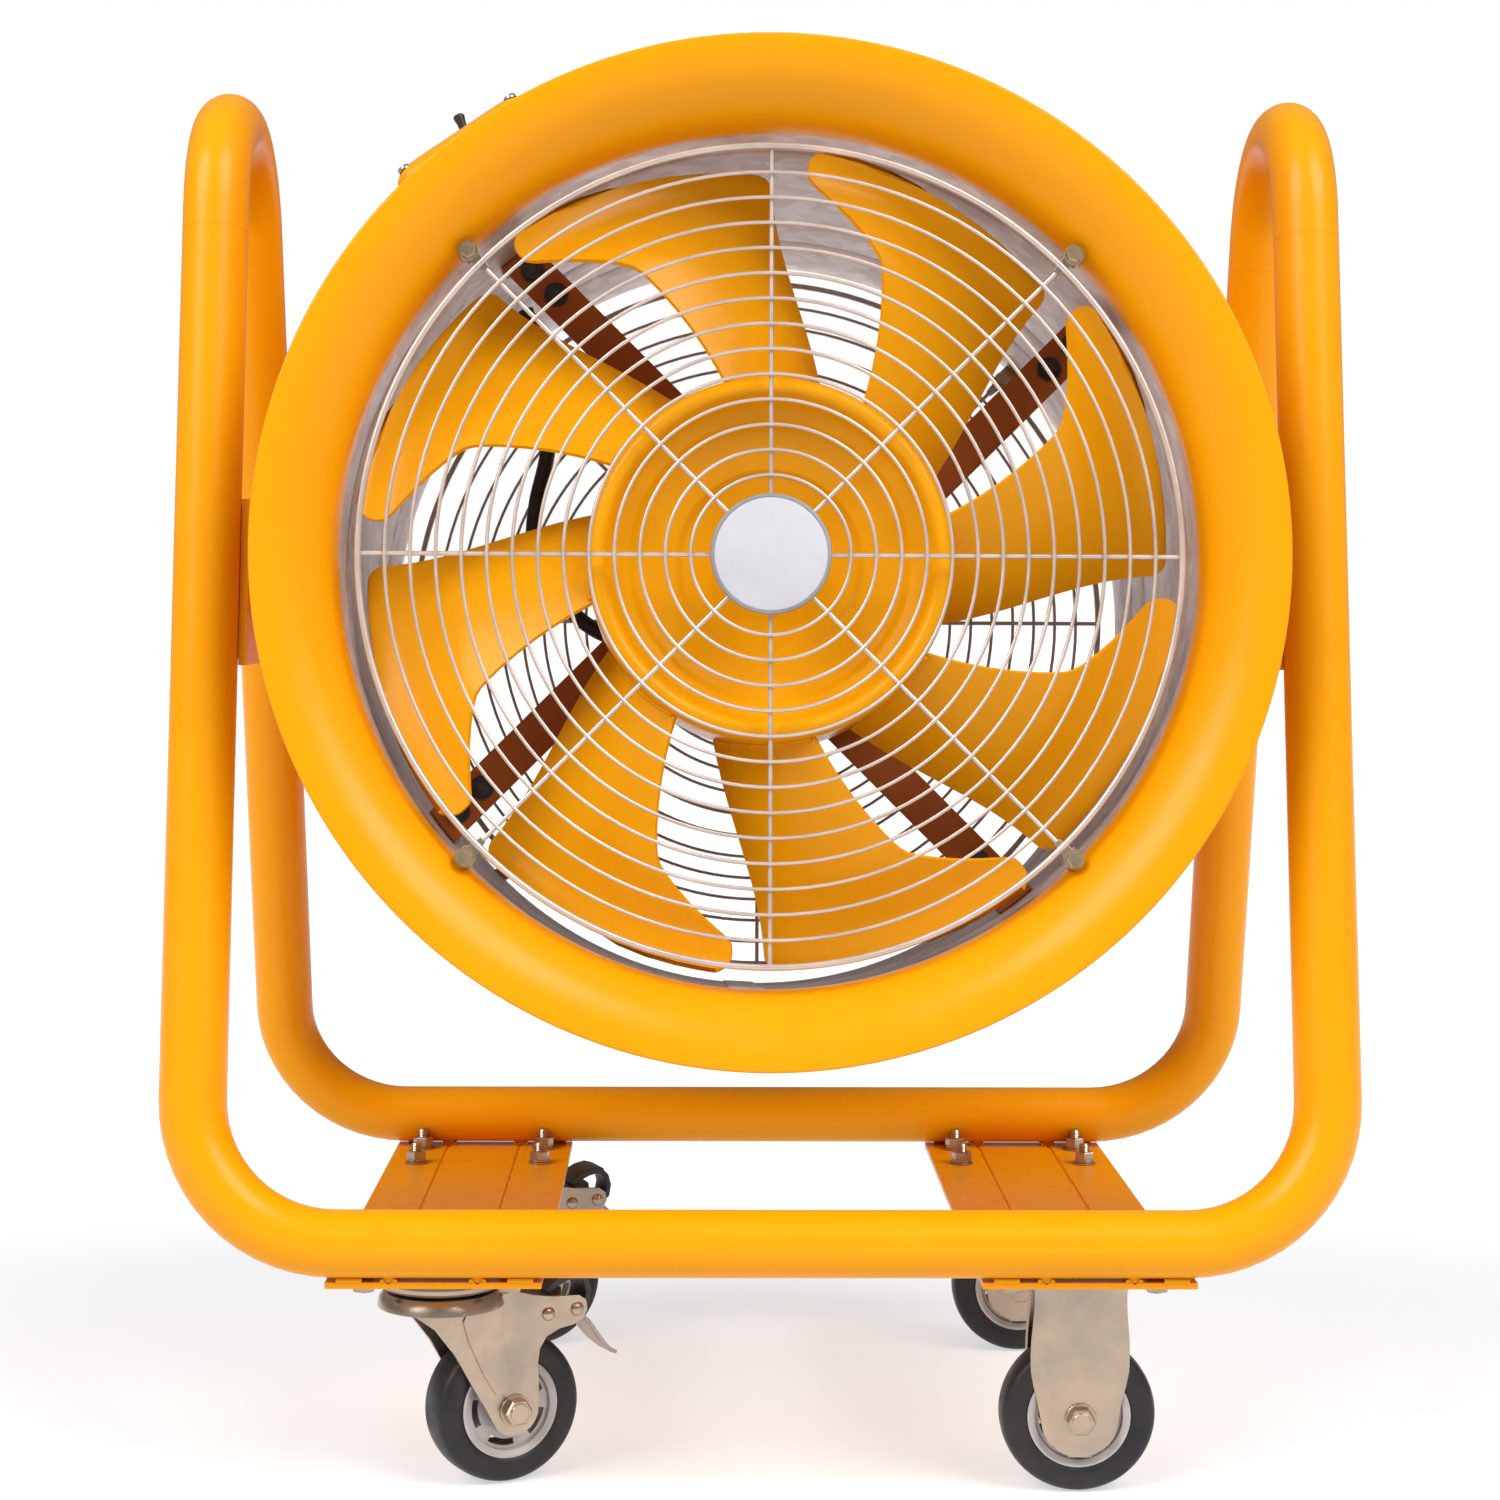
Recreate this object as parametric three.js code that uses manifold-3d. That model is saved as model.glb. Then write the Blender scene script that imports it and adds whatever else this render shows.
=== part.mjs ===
// A portable axial air mover: a drum fan that tilts between the legs of an A-shaped tube trolley
// on two rigid and two braked swivel casters. Millimetres, +Z up, the fan's front faces -Y, +X is
// to the right seen from the front. The origin is on the floor, midway between the four casters.

import * as THREE from "three";
import * as BufferGeometryUtils from "three/addons/utils/BufferGeometryUtils.js";
import Module from "manifold-3d";

const wasm = await Module();
wasm.setup();

const RAD = Math.PI / 180;
const GAP = 0.3; // between pieces that touch

// Trolley
const PIPE_R = 21.2;
const PIPE_BORE_R = 19;
const PIPE_SIDES = 14; // puts a corner on the widest line of the legs and of the leaning bars
const FRAME_HALF_WIDTH = 376.5; // to the outside of the tubes
const LEG_X = FRAME_HALF_WIDTH - PIPE_R;
const BAR_Y = 225; // front and rear bottom bars, from the middle
const BAR_Z = 170.5;
const LEAN = 12.8 * RAD; // both pairs of legs lean inwards
const CORNER_R = 90;
const JOINT_Z = 804; // where the U tubes meet the top bends
const CREST_Z = 884; // centreline of the top bends at their highest
const PLATE_X = 204; // base plates and casters
const PLATE_WIDTH = 134;
const PLATE_HALF_LENGTH = 232;
const PLATE_TOP_Z = 147.5;
const PLATE_THICK = 4;
const PIVOT_Z = 575;
const PIVOT_PLATE_LOW_Z = 526;
const PIVOT_PLATE_HIGH_Z = 632;
const PIVOT_PLATE_THICK = 5;
const PIVOT_BOLT_R = 8;

// Casters
const CASTER_Y = 174;
const CASTER_TOP_Z = PLATE_TOP_Z - PLATE_THICK - GAP;
const MOUNT_LENGTH = 114;
const MOUNT_WIDTH = 88;
const MOUNT_THICK = 3;
const WHEEL_R = 50;
const RIM_R = 33;
const TYRE_HALF_WIDTH = 15;
const AXLE_R = 5;
const FORK_HALF_GAP = 17.5;
const FORK_SHEET = 3;
const TRAIL = 42; // swivel axis to wheel axle
const FRONT_SWIVEL_YAW = 28 * RAD;
const REAR_SWIVEL_YAW = 22 * RAD;

// Drum: axial positions run along the fan's axis from the pivot, negative towards the front
const DRUM_X = 4; // the drum hangs a little to the right between its pivot plates
const TILT = 7 * RAD;
const BORE_R = 271.5;
const SHEET = 2.5;
const FLARE = 48.5; // radius of the bell mouth's quarter round
const BELL_START = -159.5;
const BARREL_END = 211;
const FLANGE_R = 288;
const LIP_R = 322;
const GUARD_R = 259;
const GUARD_WIRE = 3;
const FRONT_GUARD_AT = -183;
const REAR_GUARD_AT = 199;
const BOSS_R = 20;

// Impeller
const HUB_R = 115.7;
const BLADE_ROOT_R = 116.5;
const BLADE_TIP_R = 260;
const BLADE_COUNT = 8;
const BLADE_FRONT = -163;
const BLADE_THICK = 3;
const BLADE_START = 58 * RAD; // leading edge of the first blade at its root
const SHAFT_R = 8.2;
const SHAFT_FRONT = -151;

// Motor
const MOTOR_AT = -95; // front end of the motor's body
const MOTOR_R = 74;
const MOTOR_LENGTH = 178;
const BEARING_R = 17.3;
const BEARING_WIDTH = 11;
const STRUT_AT = -70;
const STRUT_ASIDE = -33.5; // each arm runs beside its diagonal, all on the same side
const STRUT_WIDTH = 26;
const STRUT_THICK = 4;

// Terminal box on the drum
const BOX_ANGLE = 124.5 * RAD;
const BOX_HALF = [52, 45]; // around the drum, along it
const BOX_BOTTOM = BORE_R + SHEET + 1;
const BOX_TOP = 357;
const LID_TOP = 373;

const MATERIALS = {
  paint: { color: 0xf7a10a, roughness: 0.3, metalness: 0 },
  galvanised: { color: 0xa8a19c, roughness: 0.45, metalness: 0.8 },
  zinc: { color: 0xc9c5be, roughness: 0.35, metalness: 0.9 },
  steel: { color: 0x8d8d8f, roughness: 0.4, metalness: 0.9 },
  tyre: { color: 0x151515, roughness: 0.6, metalness: 0 },
  rim: { color: 0xd5d5d2, roughness: 0.35, metalness: 0.5 },
  motor: { color: 0x7a3d10, roughness: 0.5, metalness: 0.1 },
  black: { color: 0x161616, roughness: 0.5, metalness: 0 },
  cap: { color: 0xf4f2f0, roughness: 0.4, metalness: 0 },
};

const group = new THREE.Group();

// ---- Helpers --------------------------------------------------------------------------------

function signedVolume(geometry) {
  const position = geometry.getAttribute("position");
  const [a, b, c] = [new THREE.Vector3(), new THREE.Vector3(), new THREE.Vector3()];
  let total = 0;
  for (let i = 0; i < geometry.index.count; i += 3) {
    a.fromBufferAttribute(position, geometry.index.getX(i));
    b.fromBufferAttribute(position, geometry.index.getX(i + 1));
    c.fromBufferAttribute(position, geometry.index.getX(i + 2));
    total += a.dot(b.cross(c));
  }
  return total / 6;
}

// Merges shared corners, drops triangles that lie on a lathe's axis and turns the faces outwards.
function closed(source) {
  const bare = new THREE.BufferGeometry();
  bare.setAttribute("position", source.getAttribute("position").clone());
  if (source.index) bare.setIndex(source.index.clone());
  const merged = BufferGeometryUtils.mergeVertices(bare, 1e-3);
  const kept = [];
  for (let i = 0; i < merged.index.count; i += 3) {
    const corners = [0, 1, 2].map((k) => merged.index.getX(i + k));
    if (new Set(corners).size === 3) kept.push(...corners);
  }
  merged.setIndex(kept);
  if (signedVolume(merged) < 0) {
    merged.setIndex(kept.reverse());
  }
  return merged;
}

function toSolid(geometry) {
  const shape = closed(geometry);
  return new wasm.Manifold(new wasm.Mesh({
    numProp: 3,
    vertProperties: new Float32Array(shape.getAttribute("position").array),
    triVerts: new Uint32Array(shape.index.array),
  }));
}

function fromSolid(solid) {
  const mesh = solid.getMesh();
  const geometry = new THREE.BufferGeometry();
  geometry.setAttribute("position", new THREE.BufferAttribute(mesh.vertProperties, 3));
  geometry.setIndex(new THREE.BufferAttribute(mesh.triVerts, 1));
  return geometry;
}

function join(...geometries) {
  return fromSolid(geometries.map(toSolid).reduce((sum, next) => sum.add(next)));
}

function cut(base, ...tools) {
  return fromSolid(tools.map(toSolid).reduce((rest, tool) => rest.subtract(tool), toSolid(base)));
}

function piece(name, geometry, material, parent = group) {
  const mesh = new THREE.Mesh(closed(geometry), new THREE.MeshStandardMaterial(MATERIALS[material]));
  mesh.name = name;
  parent.add(mesh);
  return mesh;
}

function lathe(profile, segments) {
  const points = profile.map(([radius, along]) => new THREE.Vector2(radius, along));
  const onAxis = points[0].x === 0 && points.at(-1).x === 0;
  if (!onAxis) points.push(points[0].clone());
  return new THREE.LatheGeometry(points, segments);
}

function rod(radius, from, to, segments = 12) {
  const shape = new THREE.CylinderGeometry(radius, radius, to - from, segments);
  return shape.translate(0, (from + to) / 2, 0);
}

function box(low, high) {
  const size = high.map((value, i) => value - low[i]);
  return new THREE.BoxGeometry(...size).translate(...high.map((value, i) => (value + low[i]) / 2));
}

function regular(radius, sides) {
  const corner = (i) => (i / sides) * 2 * Math.PI;
  return Array.from({ length: sides }, (_, i) => new THREE.Vector2(
    radius * Math.cos(corner(i)),
    radius * Math.sin(corner(i)),
  ));
}

// An outline drawn in X and Z, as thick in Y as from..to.
function sheetXZ(outline, from, to) {
  const shape = new THREE.Shape(outline.map(([x, z]) => new THREE.Vector2(x, z)));
  const plate = new THREE.ExtrudeGeometry(shape, { depth: to - from, bevelEnabled: false });
  return plate.rotateX(Math.PI / 2).translate(0, to, 0);
}

// The points of an arc, angles counted from +X towards +Z.
function arc(centreX, centreZ, radius, fromDeg, toDeg, steps) {
  return Array.from({ length: steps + 1 }, (_, i) => {
    const angle = (fromDeg + ((toDeg - fromDeg) * i) / steps) * RAD;
    return [centreX + radius * Math.cos(angle), centreZ + radius * Math.sin(angle)];
  });
}

function roundedRectangle(halfX, halfY, radius, steps = 3) {
  const corners = [[1, 1, 0], [-1, 1, 90], [-1, -1, 180], [1, -1, 270]];
  return corners.flatMap(([sx, sy, start]) => arc(
    sx * (halfX - radius), sy * (halfY - radius), radius, start, start + 90, steps,
  ));
}

// ---- Trolley tubes --------------------------------------------------------------------------

// A bent tube's centreline, given only at the stations where a ring of its surface is needed.
class TubeRun extends THREE.Curve {
  constructor(stations) {
    super();
    this.stations = stations;
  }

  getUtoTmapping(u) {
    return u;
  }

  station(t) {
    return this.stations[Math.round(t * (this.stations.length - 1))];
  }

  getPoint(t, target = new THREE.Vector3()) {
    return target.copy(this.station(t).point);
  }

  getTangent(t, target = new THREE.Vector3()) {
    return target.copy(this.station(t).tangent);
  }
}

// Stations of a bend about centre, turning from angle to angle in the plane of axes across and up.
function bendStations(centre, across, up, radius, fromDeg, toDeg, steps) {
  const turn = Math.sign(toDeg - fromDeg);
  return Array.from({ length: steps + 1 }, (_, i) => {
    const angle = (fromDeg + ((toDeg - fromDeg) * i) / steps) * RAD;
    const point = centre.clone()
      .addScaledVector(across, radius * Math.cos(angle))
      .addScaledVector(up, radius * Math.sin(angle));
    const tangent = across.clone().multiplyScalar(-turn * Math.sin(angle))
      .addScaledVector(up, turn * Math.cos(angle));
    return { point, tangent };
  });
}

function tube(stations) {
  const section = new THREE.Shape(regular(PIPE_R, PIPE_SIDES));
  section.holes.push(new THREE.Path(regular(PIPE_BORE_R, 6)));
  return new THREE.ExtrudeGeometry(section, {
    steps: stations.length - 1,
    extrudePath: new TubeRun(stations),
  });
}

function legY(z) {
  return BAR_Y - (z - BAR_Z) * Math.tan(LEAN);
}

// One U: leg, corner, bottom bar, corner, leg, in a plane that leans inwards.
function frameTube(side) {
  const across = new THREE.Vector3(1, 0, 0);
  const up = new THREE.Vector3(0, -side * Math.sin(LEAN), Math.cos(LEAN));
  const bar = new THREE.Vector3(0, side * BAR_Y, BAR_Z);
  const legTop = (JOINT_Z - BAR_Z) / Math.cos(LEAN);
  const corner = (x) => bar.clone().addScaledVector(across, x).addScaledVector(up, CORNER_R);
  const end = (x, direction) => ({
    point: bar.clone().addScaledVector(across, x).addScaledVector(up, legTop),
    tangent: up.clone().multiplyScalar(direction),
  });
  return tube([
    end(-LEG_X, -1),
    ...bendStations(corner(-LEG_X + CORNER_R), across, up, CORNER_R, 180, 270, 6),
    ...bendStations(corner(LEG_X - CORNER_R), across, up, CORNER_R, 270, 360, 6),
    end(LEG_X, 1),
  ]);
}

// The bend over the top, from the front leg to the rear one, with a short straight end on each.
function topBend(x) {
  const lean = new THREE.Vector3(0, Math.sin(LEAN), Math.cos(LEAN));
  const reach = legY(CREST_Z);
  const radius = reach / (1 / Math.cos(LEAN) - Math.tan(LEAN));
  const centre = new THREE.Vector3(x, 0, CREST_Z - radius);
  const jointZ = JOINT_Z + GAP * Math.cos(LEAN);
  const joint = (side) => new THREE.Vector3(x, side * legY(jointZ), jointZ);
  const leanDeg = LEAN / RAD;
  return tube([
    { point: joint(-1), tangent: lean },
    ...bendStations(
      centre, new THREE.Vector3(0, 1, 0), new THREE.Vector3(0, 0, 1),
      radius, 180 - leanDeg, leanDeg, 10,
    ),
    { point: joint(1), tangent: new THREE.Vector3(0, lean.y, -lean.z) },
  ]);
}

piece("front_frame_tube", frameTube(-1), "paint");
piece("rear_frame_tube", frameTube(1), "paint");
piece("left_top_bend", topBend(-LEG_X), "paint");
piece("right_top_bend", topBend(LEG_X), "paint");

// ---- Base plates and pivot plates -----------------------------------------------------------

function basePlate(x) {
  const half = PLATE_WIDTH / 2;
  const bottom = PLATE_TOP_Z - PLATE_THICK;
  const plate = box([-half, -PLATE_HALF_LENGTH, bottom], [half, PLATE_HALF_LENGTH, PLATE_TOP_Z]);
  const tabTop = BAR_Z - PIPE_R - GAP;
  const tabs = [-1, 1].flatMap((side) => [-28, 28].map((tabX) => box(
    [tabX - 4, side * BAR_Y - 5, PLATE_TOP_Z - 1],
    [tabX + 4, side * BAR_Y + 5, tabTop],
  )));
  return join(plate, ...tabs).translate(x, 0, 0);
}

piece("left_base_plate", basePlate(-PLATE_X), "paint");
piece("right_base_plate", basePlate(PLATE_X), "paint");

const PIVOT_PLATE_OUT = LEG_X - PIPE_R - GAP; // face against the legs
const PIVOT_PLATE_IN = PIVOT_PLATE_OUT - PIVOT_PLATE_THICK;

// A plate welded between the front and rear leg, with the hole that the drum's pivot bolt needs.
function pivotPlate(side) {
  const [low, high] = [PIVOT_PLATE_LOW_Z, PIVOT_PLATE_HIGH_Z];
  const outline = new THREE.Shape([
    new THREE.Vector2(-legY(low), low),
    new THREE.Vector2(legY(low), low),
    new THREE.Vector2(legY(high), high),
    new THREE.Vector2(-legY(high), high),
  ]);
  const hole = regular(PIVOT_BOLT_R + GAP, 12).map((point) => point.add(new THREE.Vector2(0, PIVOT_Z)));
  outline.holes.push(new THREE.Path(hole));
  const plate = new THREE.ExtrudeGeometry(outline, { depth: PIVOT_PLATE_THICK, bevelEnabled: false });
  plate.rotateX(Math.PI / 2).rotateZ(Math.PI / 2);
  const inner = side < 0 ? -PIVOT_PLATE_OUT : PIVOT_PLATE_IN;
  return plate.translate(inner, 0, 0);
}

piece("left_pivot_plate", pivotPlate(-1), "paint");
piece("right_pivot_plate", pivotPlate(1), "paint");

// ---- Casters --------------------------------------------------------------------------------

function casterAxle() {
  const headFrom = FORK_HALF_GAP + FORK_SHEET + GAP;
  return join(
    rod(AXLE_R, -headFrom - 9, headFrom + 1, 8),
    rod(9.2, headFrom, headFrom + 6.5, 6),
    rod(9.2, -headFrom - 7, -headFrom, 6),
  );
}

function casterRim() {
  return lathe([
    [AXLE_R + GAP, -FORK_HALF_GAP + 1], [13, -FORK_HALF_GAP + 1], [15, -5], [28, -5],
    [RIM_R, -14], [RIM_R, 14],
    [28, 5], [15, 5], [13, FORK_HALF_GAP - 1], [AXLE_R + GAP, FORK_HALF_GAP - 1],
  ], 16);
}

// A ring of flats, turned so that one of them lies flat on the floor.
function casterTyre() {
  const sides = 24;
  const halfTurn = Math.PI / sides;
  const tread = WHEEL_R / Math.cos(halfTurn);
  const inner = RIM_R + GAP;
  const shoulder = tread - 4;
  return lathe([
    [inner, -TYRE_HALF_WIDTH], [shoulder, -TYRE_HALF_WIDTH], [tread, -TYRE_HALF_WIDTH + 5],
    [tread, TYRE_HALF_WIDTH - 5], [shoulder, TYRE_HALF_WIDTH], [inner, TYRE_HALF_WIDTH],
  ], sides).rotateY(halfTurn);
}

// Two cheeks of pressed sheet with a hole for the axle at axleX.
function forkCheeks(outline, axleX) {
  const hole = rod(AXLE_R + GAP, -60, 60, 8).translate(axleX, 0, WHEEL_R);
  return [-1, 1].map((side) => {
    const near = FORK_HALF_GAP;
    const far = FORK_HALF_GAP + FORK_SHEET;
    const sheet = side > 0 ? sheetXZ(outline, near, far) : sheetXZ(outline, -far, -near);
    return cut(sheet, hole);
  });
}

function mountPlate() {
  return box(
    [-MOUNT_LENGTH / 2, -MOUNT_WIDTH / 2, CASTER_TOP_Z - MOUNT_THICK],
    [MOUNT_LENGTH / 2, MOUNT_WIDTH / 2, CASTER_TOP_Z],
  );
}

function rigidFork() {
  const top = CASTER_TOP_Z - 1;
  const outline = [
    [-33, top], [-32, 92], [-30.3, 72], ...arc(0, WHEEL_R, 25, 190, 350, 6), [30.3, 72], [32, 92], [33, top],
  ];
  return join(mountPlate(), ...forkCheeks(outline, 0));
}

const RACE_TOP = CASTER_TOP_Z - MOUNT_THICK;
const RACE_SPLIT = 132;

function swivelPlate() {
  const race = lathe([[0, RACE_SPLIT], [36, RACE_SPLIT], [36, RACE_TOP + 1], [0, RACE_TOP + 1]], 16);
  return join(mountPlate(), race.rotateX(Math.PI / 2));
}

function swivelFork() {
  const crownTop = RACE_SPLIT - GAP;
  const crown = lathe([[0, 122], [33, 122], [33, crownTop], [0, crownTop]], 16);
  const outline = [
    [-28, 126], [-26, 112], ...arc(TRAIL, WHEEL_R, 17, 215, 360, 6), [66, 98], [92, 106], [92, 119],
    [60, 126],
  ];
  return join(crown.rotateX(Math.PI / 2), ...forkCheeks(outline, TRAIL));
}

// The lever that a foot presses: an upper tab and a long blade, hung between the cheeks.
function brakePedal() {
  const outline = [
    [66, 100], [82, 104], [97, 101], [118, 72], [124, 76], [104, 112], [97, 128], [92, 136], [66, 135],
    [66, 126], [76, 124], [70, 112],
  ];
  const half = FORK_HALF_GAP - 2;
  return sheetXZ(outline, -half, half);
}

function casterWheel(name, parent, axleX) {
  piece(`${name}_wheel_rim`, casterRim(), "rim", parent).position.set(axleX, 0, WHEEL_R);
  piece(`${name}_wheel_tyre`, casterTyre(), "tyre", parent).position.set(axleX, 0, WHEEL_R);
  piece(`${name}_axle_bolt`, casterAxle(), "zinc", parent).position.set(axleX, 0, WHEEL_R);
}

function rigidCaster(name, x, y) {
  const place = new THREE.Group();
  place.position.set(x, y, 0);
  group.add(place);
  piece(`${name}_caster_fork`, rigidFork(), "zinc", place);
  casterWheel(name, place, 0);
}

function swivelCaster(name, x, y, yaw) {
  const place = new THREE.Group();
  place.position.set(x, y, 0);
  group.add(place);
  piece(`${name}_caster_plate`, swivelPlate(), "zinc", place);
  const swivel = new THREE.Group();
  swivel.rotation.z = yaw;
  place.add(swivel);
  piece(`${name}_caster_fork`, swivelFork(), "zinc", swivel);
  piece(`${name}_brake_pedal`, brakePedal(), "black", swivel);
  casterWheel(name, swivel, TRAIL);
}

rigidCaster("front_right", PLATE_X, -CASTER_Y);
rigidCaster("rear_right", PLATE_X, CASTER_Y);
swivelCaster("front_left", -PLATE_X, -CASTER_Y, FRONT_SWIVEL_YAW);
swivelCaster("rear_left", -PLATE_X, CASTER_Y, REAR_SWIVEL_YAW);

// ---- Drum -----------------------------------------------------------------------------------

// In this group Y runs along the fan's axis and Z is up before the drum is tilted.
const drum = new THREE.Group();
drum.position.set(DRUM_X, 0, PIVOT_Z);
drum.rotation.x = -TILT;
group.add(drum);

// The sheet flares through a quarter round and ends in a short rolled return.
function bellMouth() {
  const centreR = BORE_R + FLARE;
  const quarter = (radius, angleDeg) => [
    centreR - radius * Math.cos(angleDeg * RAD),
    BELL_START - radius * Math.sin(angleDeg * RAD),
  ];
  const front = [0, 18, 36, 54, 72, 90].map((angle) => quarter(FLARE, angle));
  const back = [90, 60, 30, 0].map((angle) => quarter(FLARE - SHEET, angle));
  const lipFront = BELL_START - FLARE;
  return lathe([
    ...front,
    [LIP_R - 1, lipFront + 1], [LIP_R, lipFront + 3.5], [LIP_R, lipFront + 12],
    [LIP_R - SHEET, lipFront + 12], [LIP_R - SHEET, lipFront + 4],
    ...back,
  ], 48);
}

function barrel() {
  const front = BELL_START + GAP;
  const shell = lathe([
    [BORE_R, front], [BORE_R + SHEET, front], [BORE_R + SHEET, BARREL_END - SHEET],
    [FLANGE_R, BARREL_END - SHEET], [FLANGE_R, BARREL_END], [BORE_R, BARREL_END],
  ], 48);
  const bosses = [-1, 1].map((side) => {
    const bossEnd = PIVOT_PLATE_IN - GAP - side * DRUM_X;
    const bore = rod(PIVOT_BOLT_R + GAP, BORE_R + 4, bossEnd + 1, 12);
    const boss = cut(rod(BOSS_R, BORE_R + 1, bossEnd, 16), bore);
    return boss.rotateZ(-side * Math.PI / 2);
  });
  return join(shell, ...bosses);
}

function pivotBolt(side) {
  const headFrom = PIVOT_PLATE_OUT + GAP - side * DRUM_X;
  const shank = rod(PIVOT_BOLT_R, BORE_R + 6, headFrom + 2, 12);
  const washer = rod(17, headFrom, headFrom + 3, 16);
  const head = rod(13.8, headFrom + 2, headFrom + 13, 6);
  return join(shank, washer, head).rotateZ(-side * Math.PI / 2);
}

// Flat grille of rings and eight spokes, with four lugs that reach the wall at the diagonals.
function guard(lugReach) {
  const rings = [41, 84, 127, 170, 214, GUARD_R - GUARD_WIRE / 2];
  const half = GUARD_WIRE / 2;
  const spokes = 8;
  const perSector = 3;
  const sectorPoint = (radius, k, t) => {
    const inset = Math.asin(half / radius);
    const start = (k / spokes) * 2 * Math.PI + inset;
    const angle = start + t * ((2 * Math.PI) / spokes - 2 * inset);
    return new THREE.Vector2(radius * Math.cos(angle), radius * Math.sin(angle));
  };
  const steps = Array.from({ length: perSector + 1 }, (_, i) => i / perSector);
  const outer = [];
  for (let k = 0; k < spokes; k += 1) {
    const isLug = k % 2 === 1;
    const angle = (k / spokes) * 2 * Math.PI;
    if (isLug) {
      const spread = 8 / GUARD_R;
      [[GUARD_R, -spread], [lugReach, -spread], [lugReach, spread], [GUARD_R, spread]]
        .forEach(([r, da]) => outer.push(new THREE.Vector2(
          r * Math.cos(angle + da), r * Math.sin(angle + da),
        )));
    } else {
      outer.push(new THREE.Vector2(GUARD_R * Math.cos(angle), GUARD_R * Math.sin(angle)));
    }
    [1, 2].forEach((i) => {
      const between = angle + (i * 2 * Math.PI) / (spokes * perSector);
      outer.push(new THREE.Vector2(GUARD_R * Math.cos(between), GUARD_R * Math.sin(between)));
    });
  }
  const shape = new THREE.Shape(outer);
  for (let ring = 0; ring + 1 < rings.length; ring += 1) {
    for (let k = 0; k < spokes; k += 1) {
      const near = steps.map((t) => sectorPoint(rings[ring] + half, k, t));
      const far = steps.map((t) => sectorPoint(rings[ring + 1] - half, k, t));
      shape.holes.push(new THREE.Path([...near, ...far.reverse()]));
    }
  }
  const grille = new THREE.ExtrudeGeometry(shape, { depth: GUARD_WIRE, bevelEnabled: false });
  return grille.rotateX(Math.PI / 2).translate(0, GUARD_WIRE / 2, 0);
}

// A flat arm between a saddle on the motor and a foot on the barrel's wall.
function motorStrut() {
  const half = STRUT_WIDTH / 2;
  const back = STRUT_AT + 24;
  const bar = (fromX, toX, toY) => box(
    [fromX, STRUT_AT, STRUT_ASIDE - half],
    [toX, toY, STRUT_ASIDE + half],
  );
  const foot = BORE_R - 9;
  const arm = join(bar(50, 280, STRUT_AT + STRUT_THICK), bar(50, 80, back), bar(foot, 280, back));
  const [low, high] = [STRUT_AT - 5, back + 5];
  const motorSides = 20;
  const motorSpace = rod((MOTOR_R + GAP) / Math.cos(Math.PI / motorSides), low, high, motorSides);
  const wall = BORE_R - GAP;
  const outside = lathe([[wall, low], [300, low], [300, high], [wall, high]], 48);
  return cut(arm, motorSpace, outside);
}

// Turns a piece that lies along +X to an angle counted from +X towards +Z.
function turned(mesh, angle) {
  mesh.rotation.y = -angle;
  return mesh;
}

piece("bell_mouth", bellMouth(), "paint", drum);
piece("casing_barrel", barrel(), "galvanised", drum);
piece("left_pivot_bolt", pivotBolt(-1), "zinc", drum);
piece("right_pivot_bolt", pivotBolt(1), "zinc", drum);
piece("front_guard", guard(275), "zinc", drum).position.y = FRONT_GUARD_AT;
piece("rear_guard", guard(269.5), "zinc", drum).position.y = REAR_GUARD_AT;
const capFront = FRONT_GUARD_AT - GUARD_WIRE / 2 - GAP;
piece("guard_cap", lathe([
  [0, capFront], [37, capFront], [38, capFront - 2], [34, capFront - 4.5], [0, capFront - 6],
], 20), "cap", drum);
[45, 135, 225, 315].forEach((angle, i) => {
  turned(piece(`motor_strut_${i + 1}`, motorStrut(), "motor", drum), angle * RAD);
});

// ---- Motor ----------------------------------------------------------------------------------

const SEAT_R = BEARING_R + GAP;
const FRONT_SEAT = -10;
const REAR_SEAT = MOTOR_LENGTH - 6;

function motorBody() {
  const stator = [35, 140];
  return lathe([
    [0, MOTOR_LENGTH], [0, REAR_SEAT], [SEAT_R, REAR_SEAT], [SEAT_R, REAR_SEAT - 14],
    [24, REAR_SEAT - 14], [24, REAR_SEAT - 2], [68, REAR_SEAT - 2], [68, stator[1]],
    [45.6, stator[1]], [45.6, stator[0]], [68, stator[0]], [68, 0], [MOTOR_R, 0],
    [MOTOR_R, MOTOR_LENGTH - 6], [MOTOR_R - 6, MOTOR_LENGTH], [0, MOTOR_LENGTH],
  ], 20);
}

function motorShield() {
  return lathe([
    [SHAFT_R + 1, FRONT_SEAT - 4], [26, FRONT_SEAT - 4], [MOTOR_R - 4, -7], [MOTOR_R, -4],
    [MOTOR_R, -GAP], [24, -GAP], [24, 4], [SEAT_R, 4], [SEAT_R, FRONT_SEAT],
    [SHAFT_R + 1, FRONT_SEAT],
  ], 20);
}

function bearing(from) {
  const to = from + BEARING_WIDTH;
  const inner = SHAFT_R + GAP;
  return lathe([[inner, from], [BEARING_R, from], [BEARING_R, to], [inner, to]], 16);
}

function motorRotor() {
  const core = [38, 137];
  const front = SHAFT_FRONT - MOTOR_AT;
  return lathe([
    [0, front], [SHAFT_R, front], [SHAFT_R, core[0]], [45, core[0]], [45, core[1]],
    [SHAFT_R, core[1]], [SHAFT_R, REAR_SEAT - 1], [0, REAR_SEAT - 1],
  ], 16);
}

const motor = new THREE.Group();
motor.position.y = MOTOR_AT;
drum.add(motor);
piece("motor_body", motorBody(), "motor", motor);
piece("motor_front_shield", motorShield(), "motor", motor);
piece("front_bearing", bearing(FRONT_SEAT + GAP), "steel", motor);
piece("rear_bearing", bearing(REAR_SEAT - BEARING_WIDTH - GAP), "steel", motor);
piece("motor_rotor", motorRotor(), "steel", motor);

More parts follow.
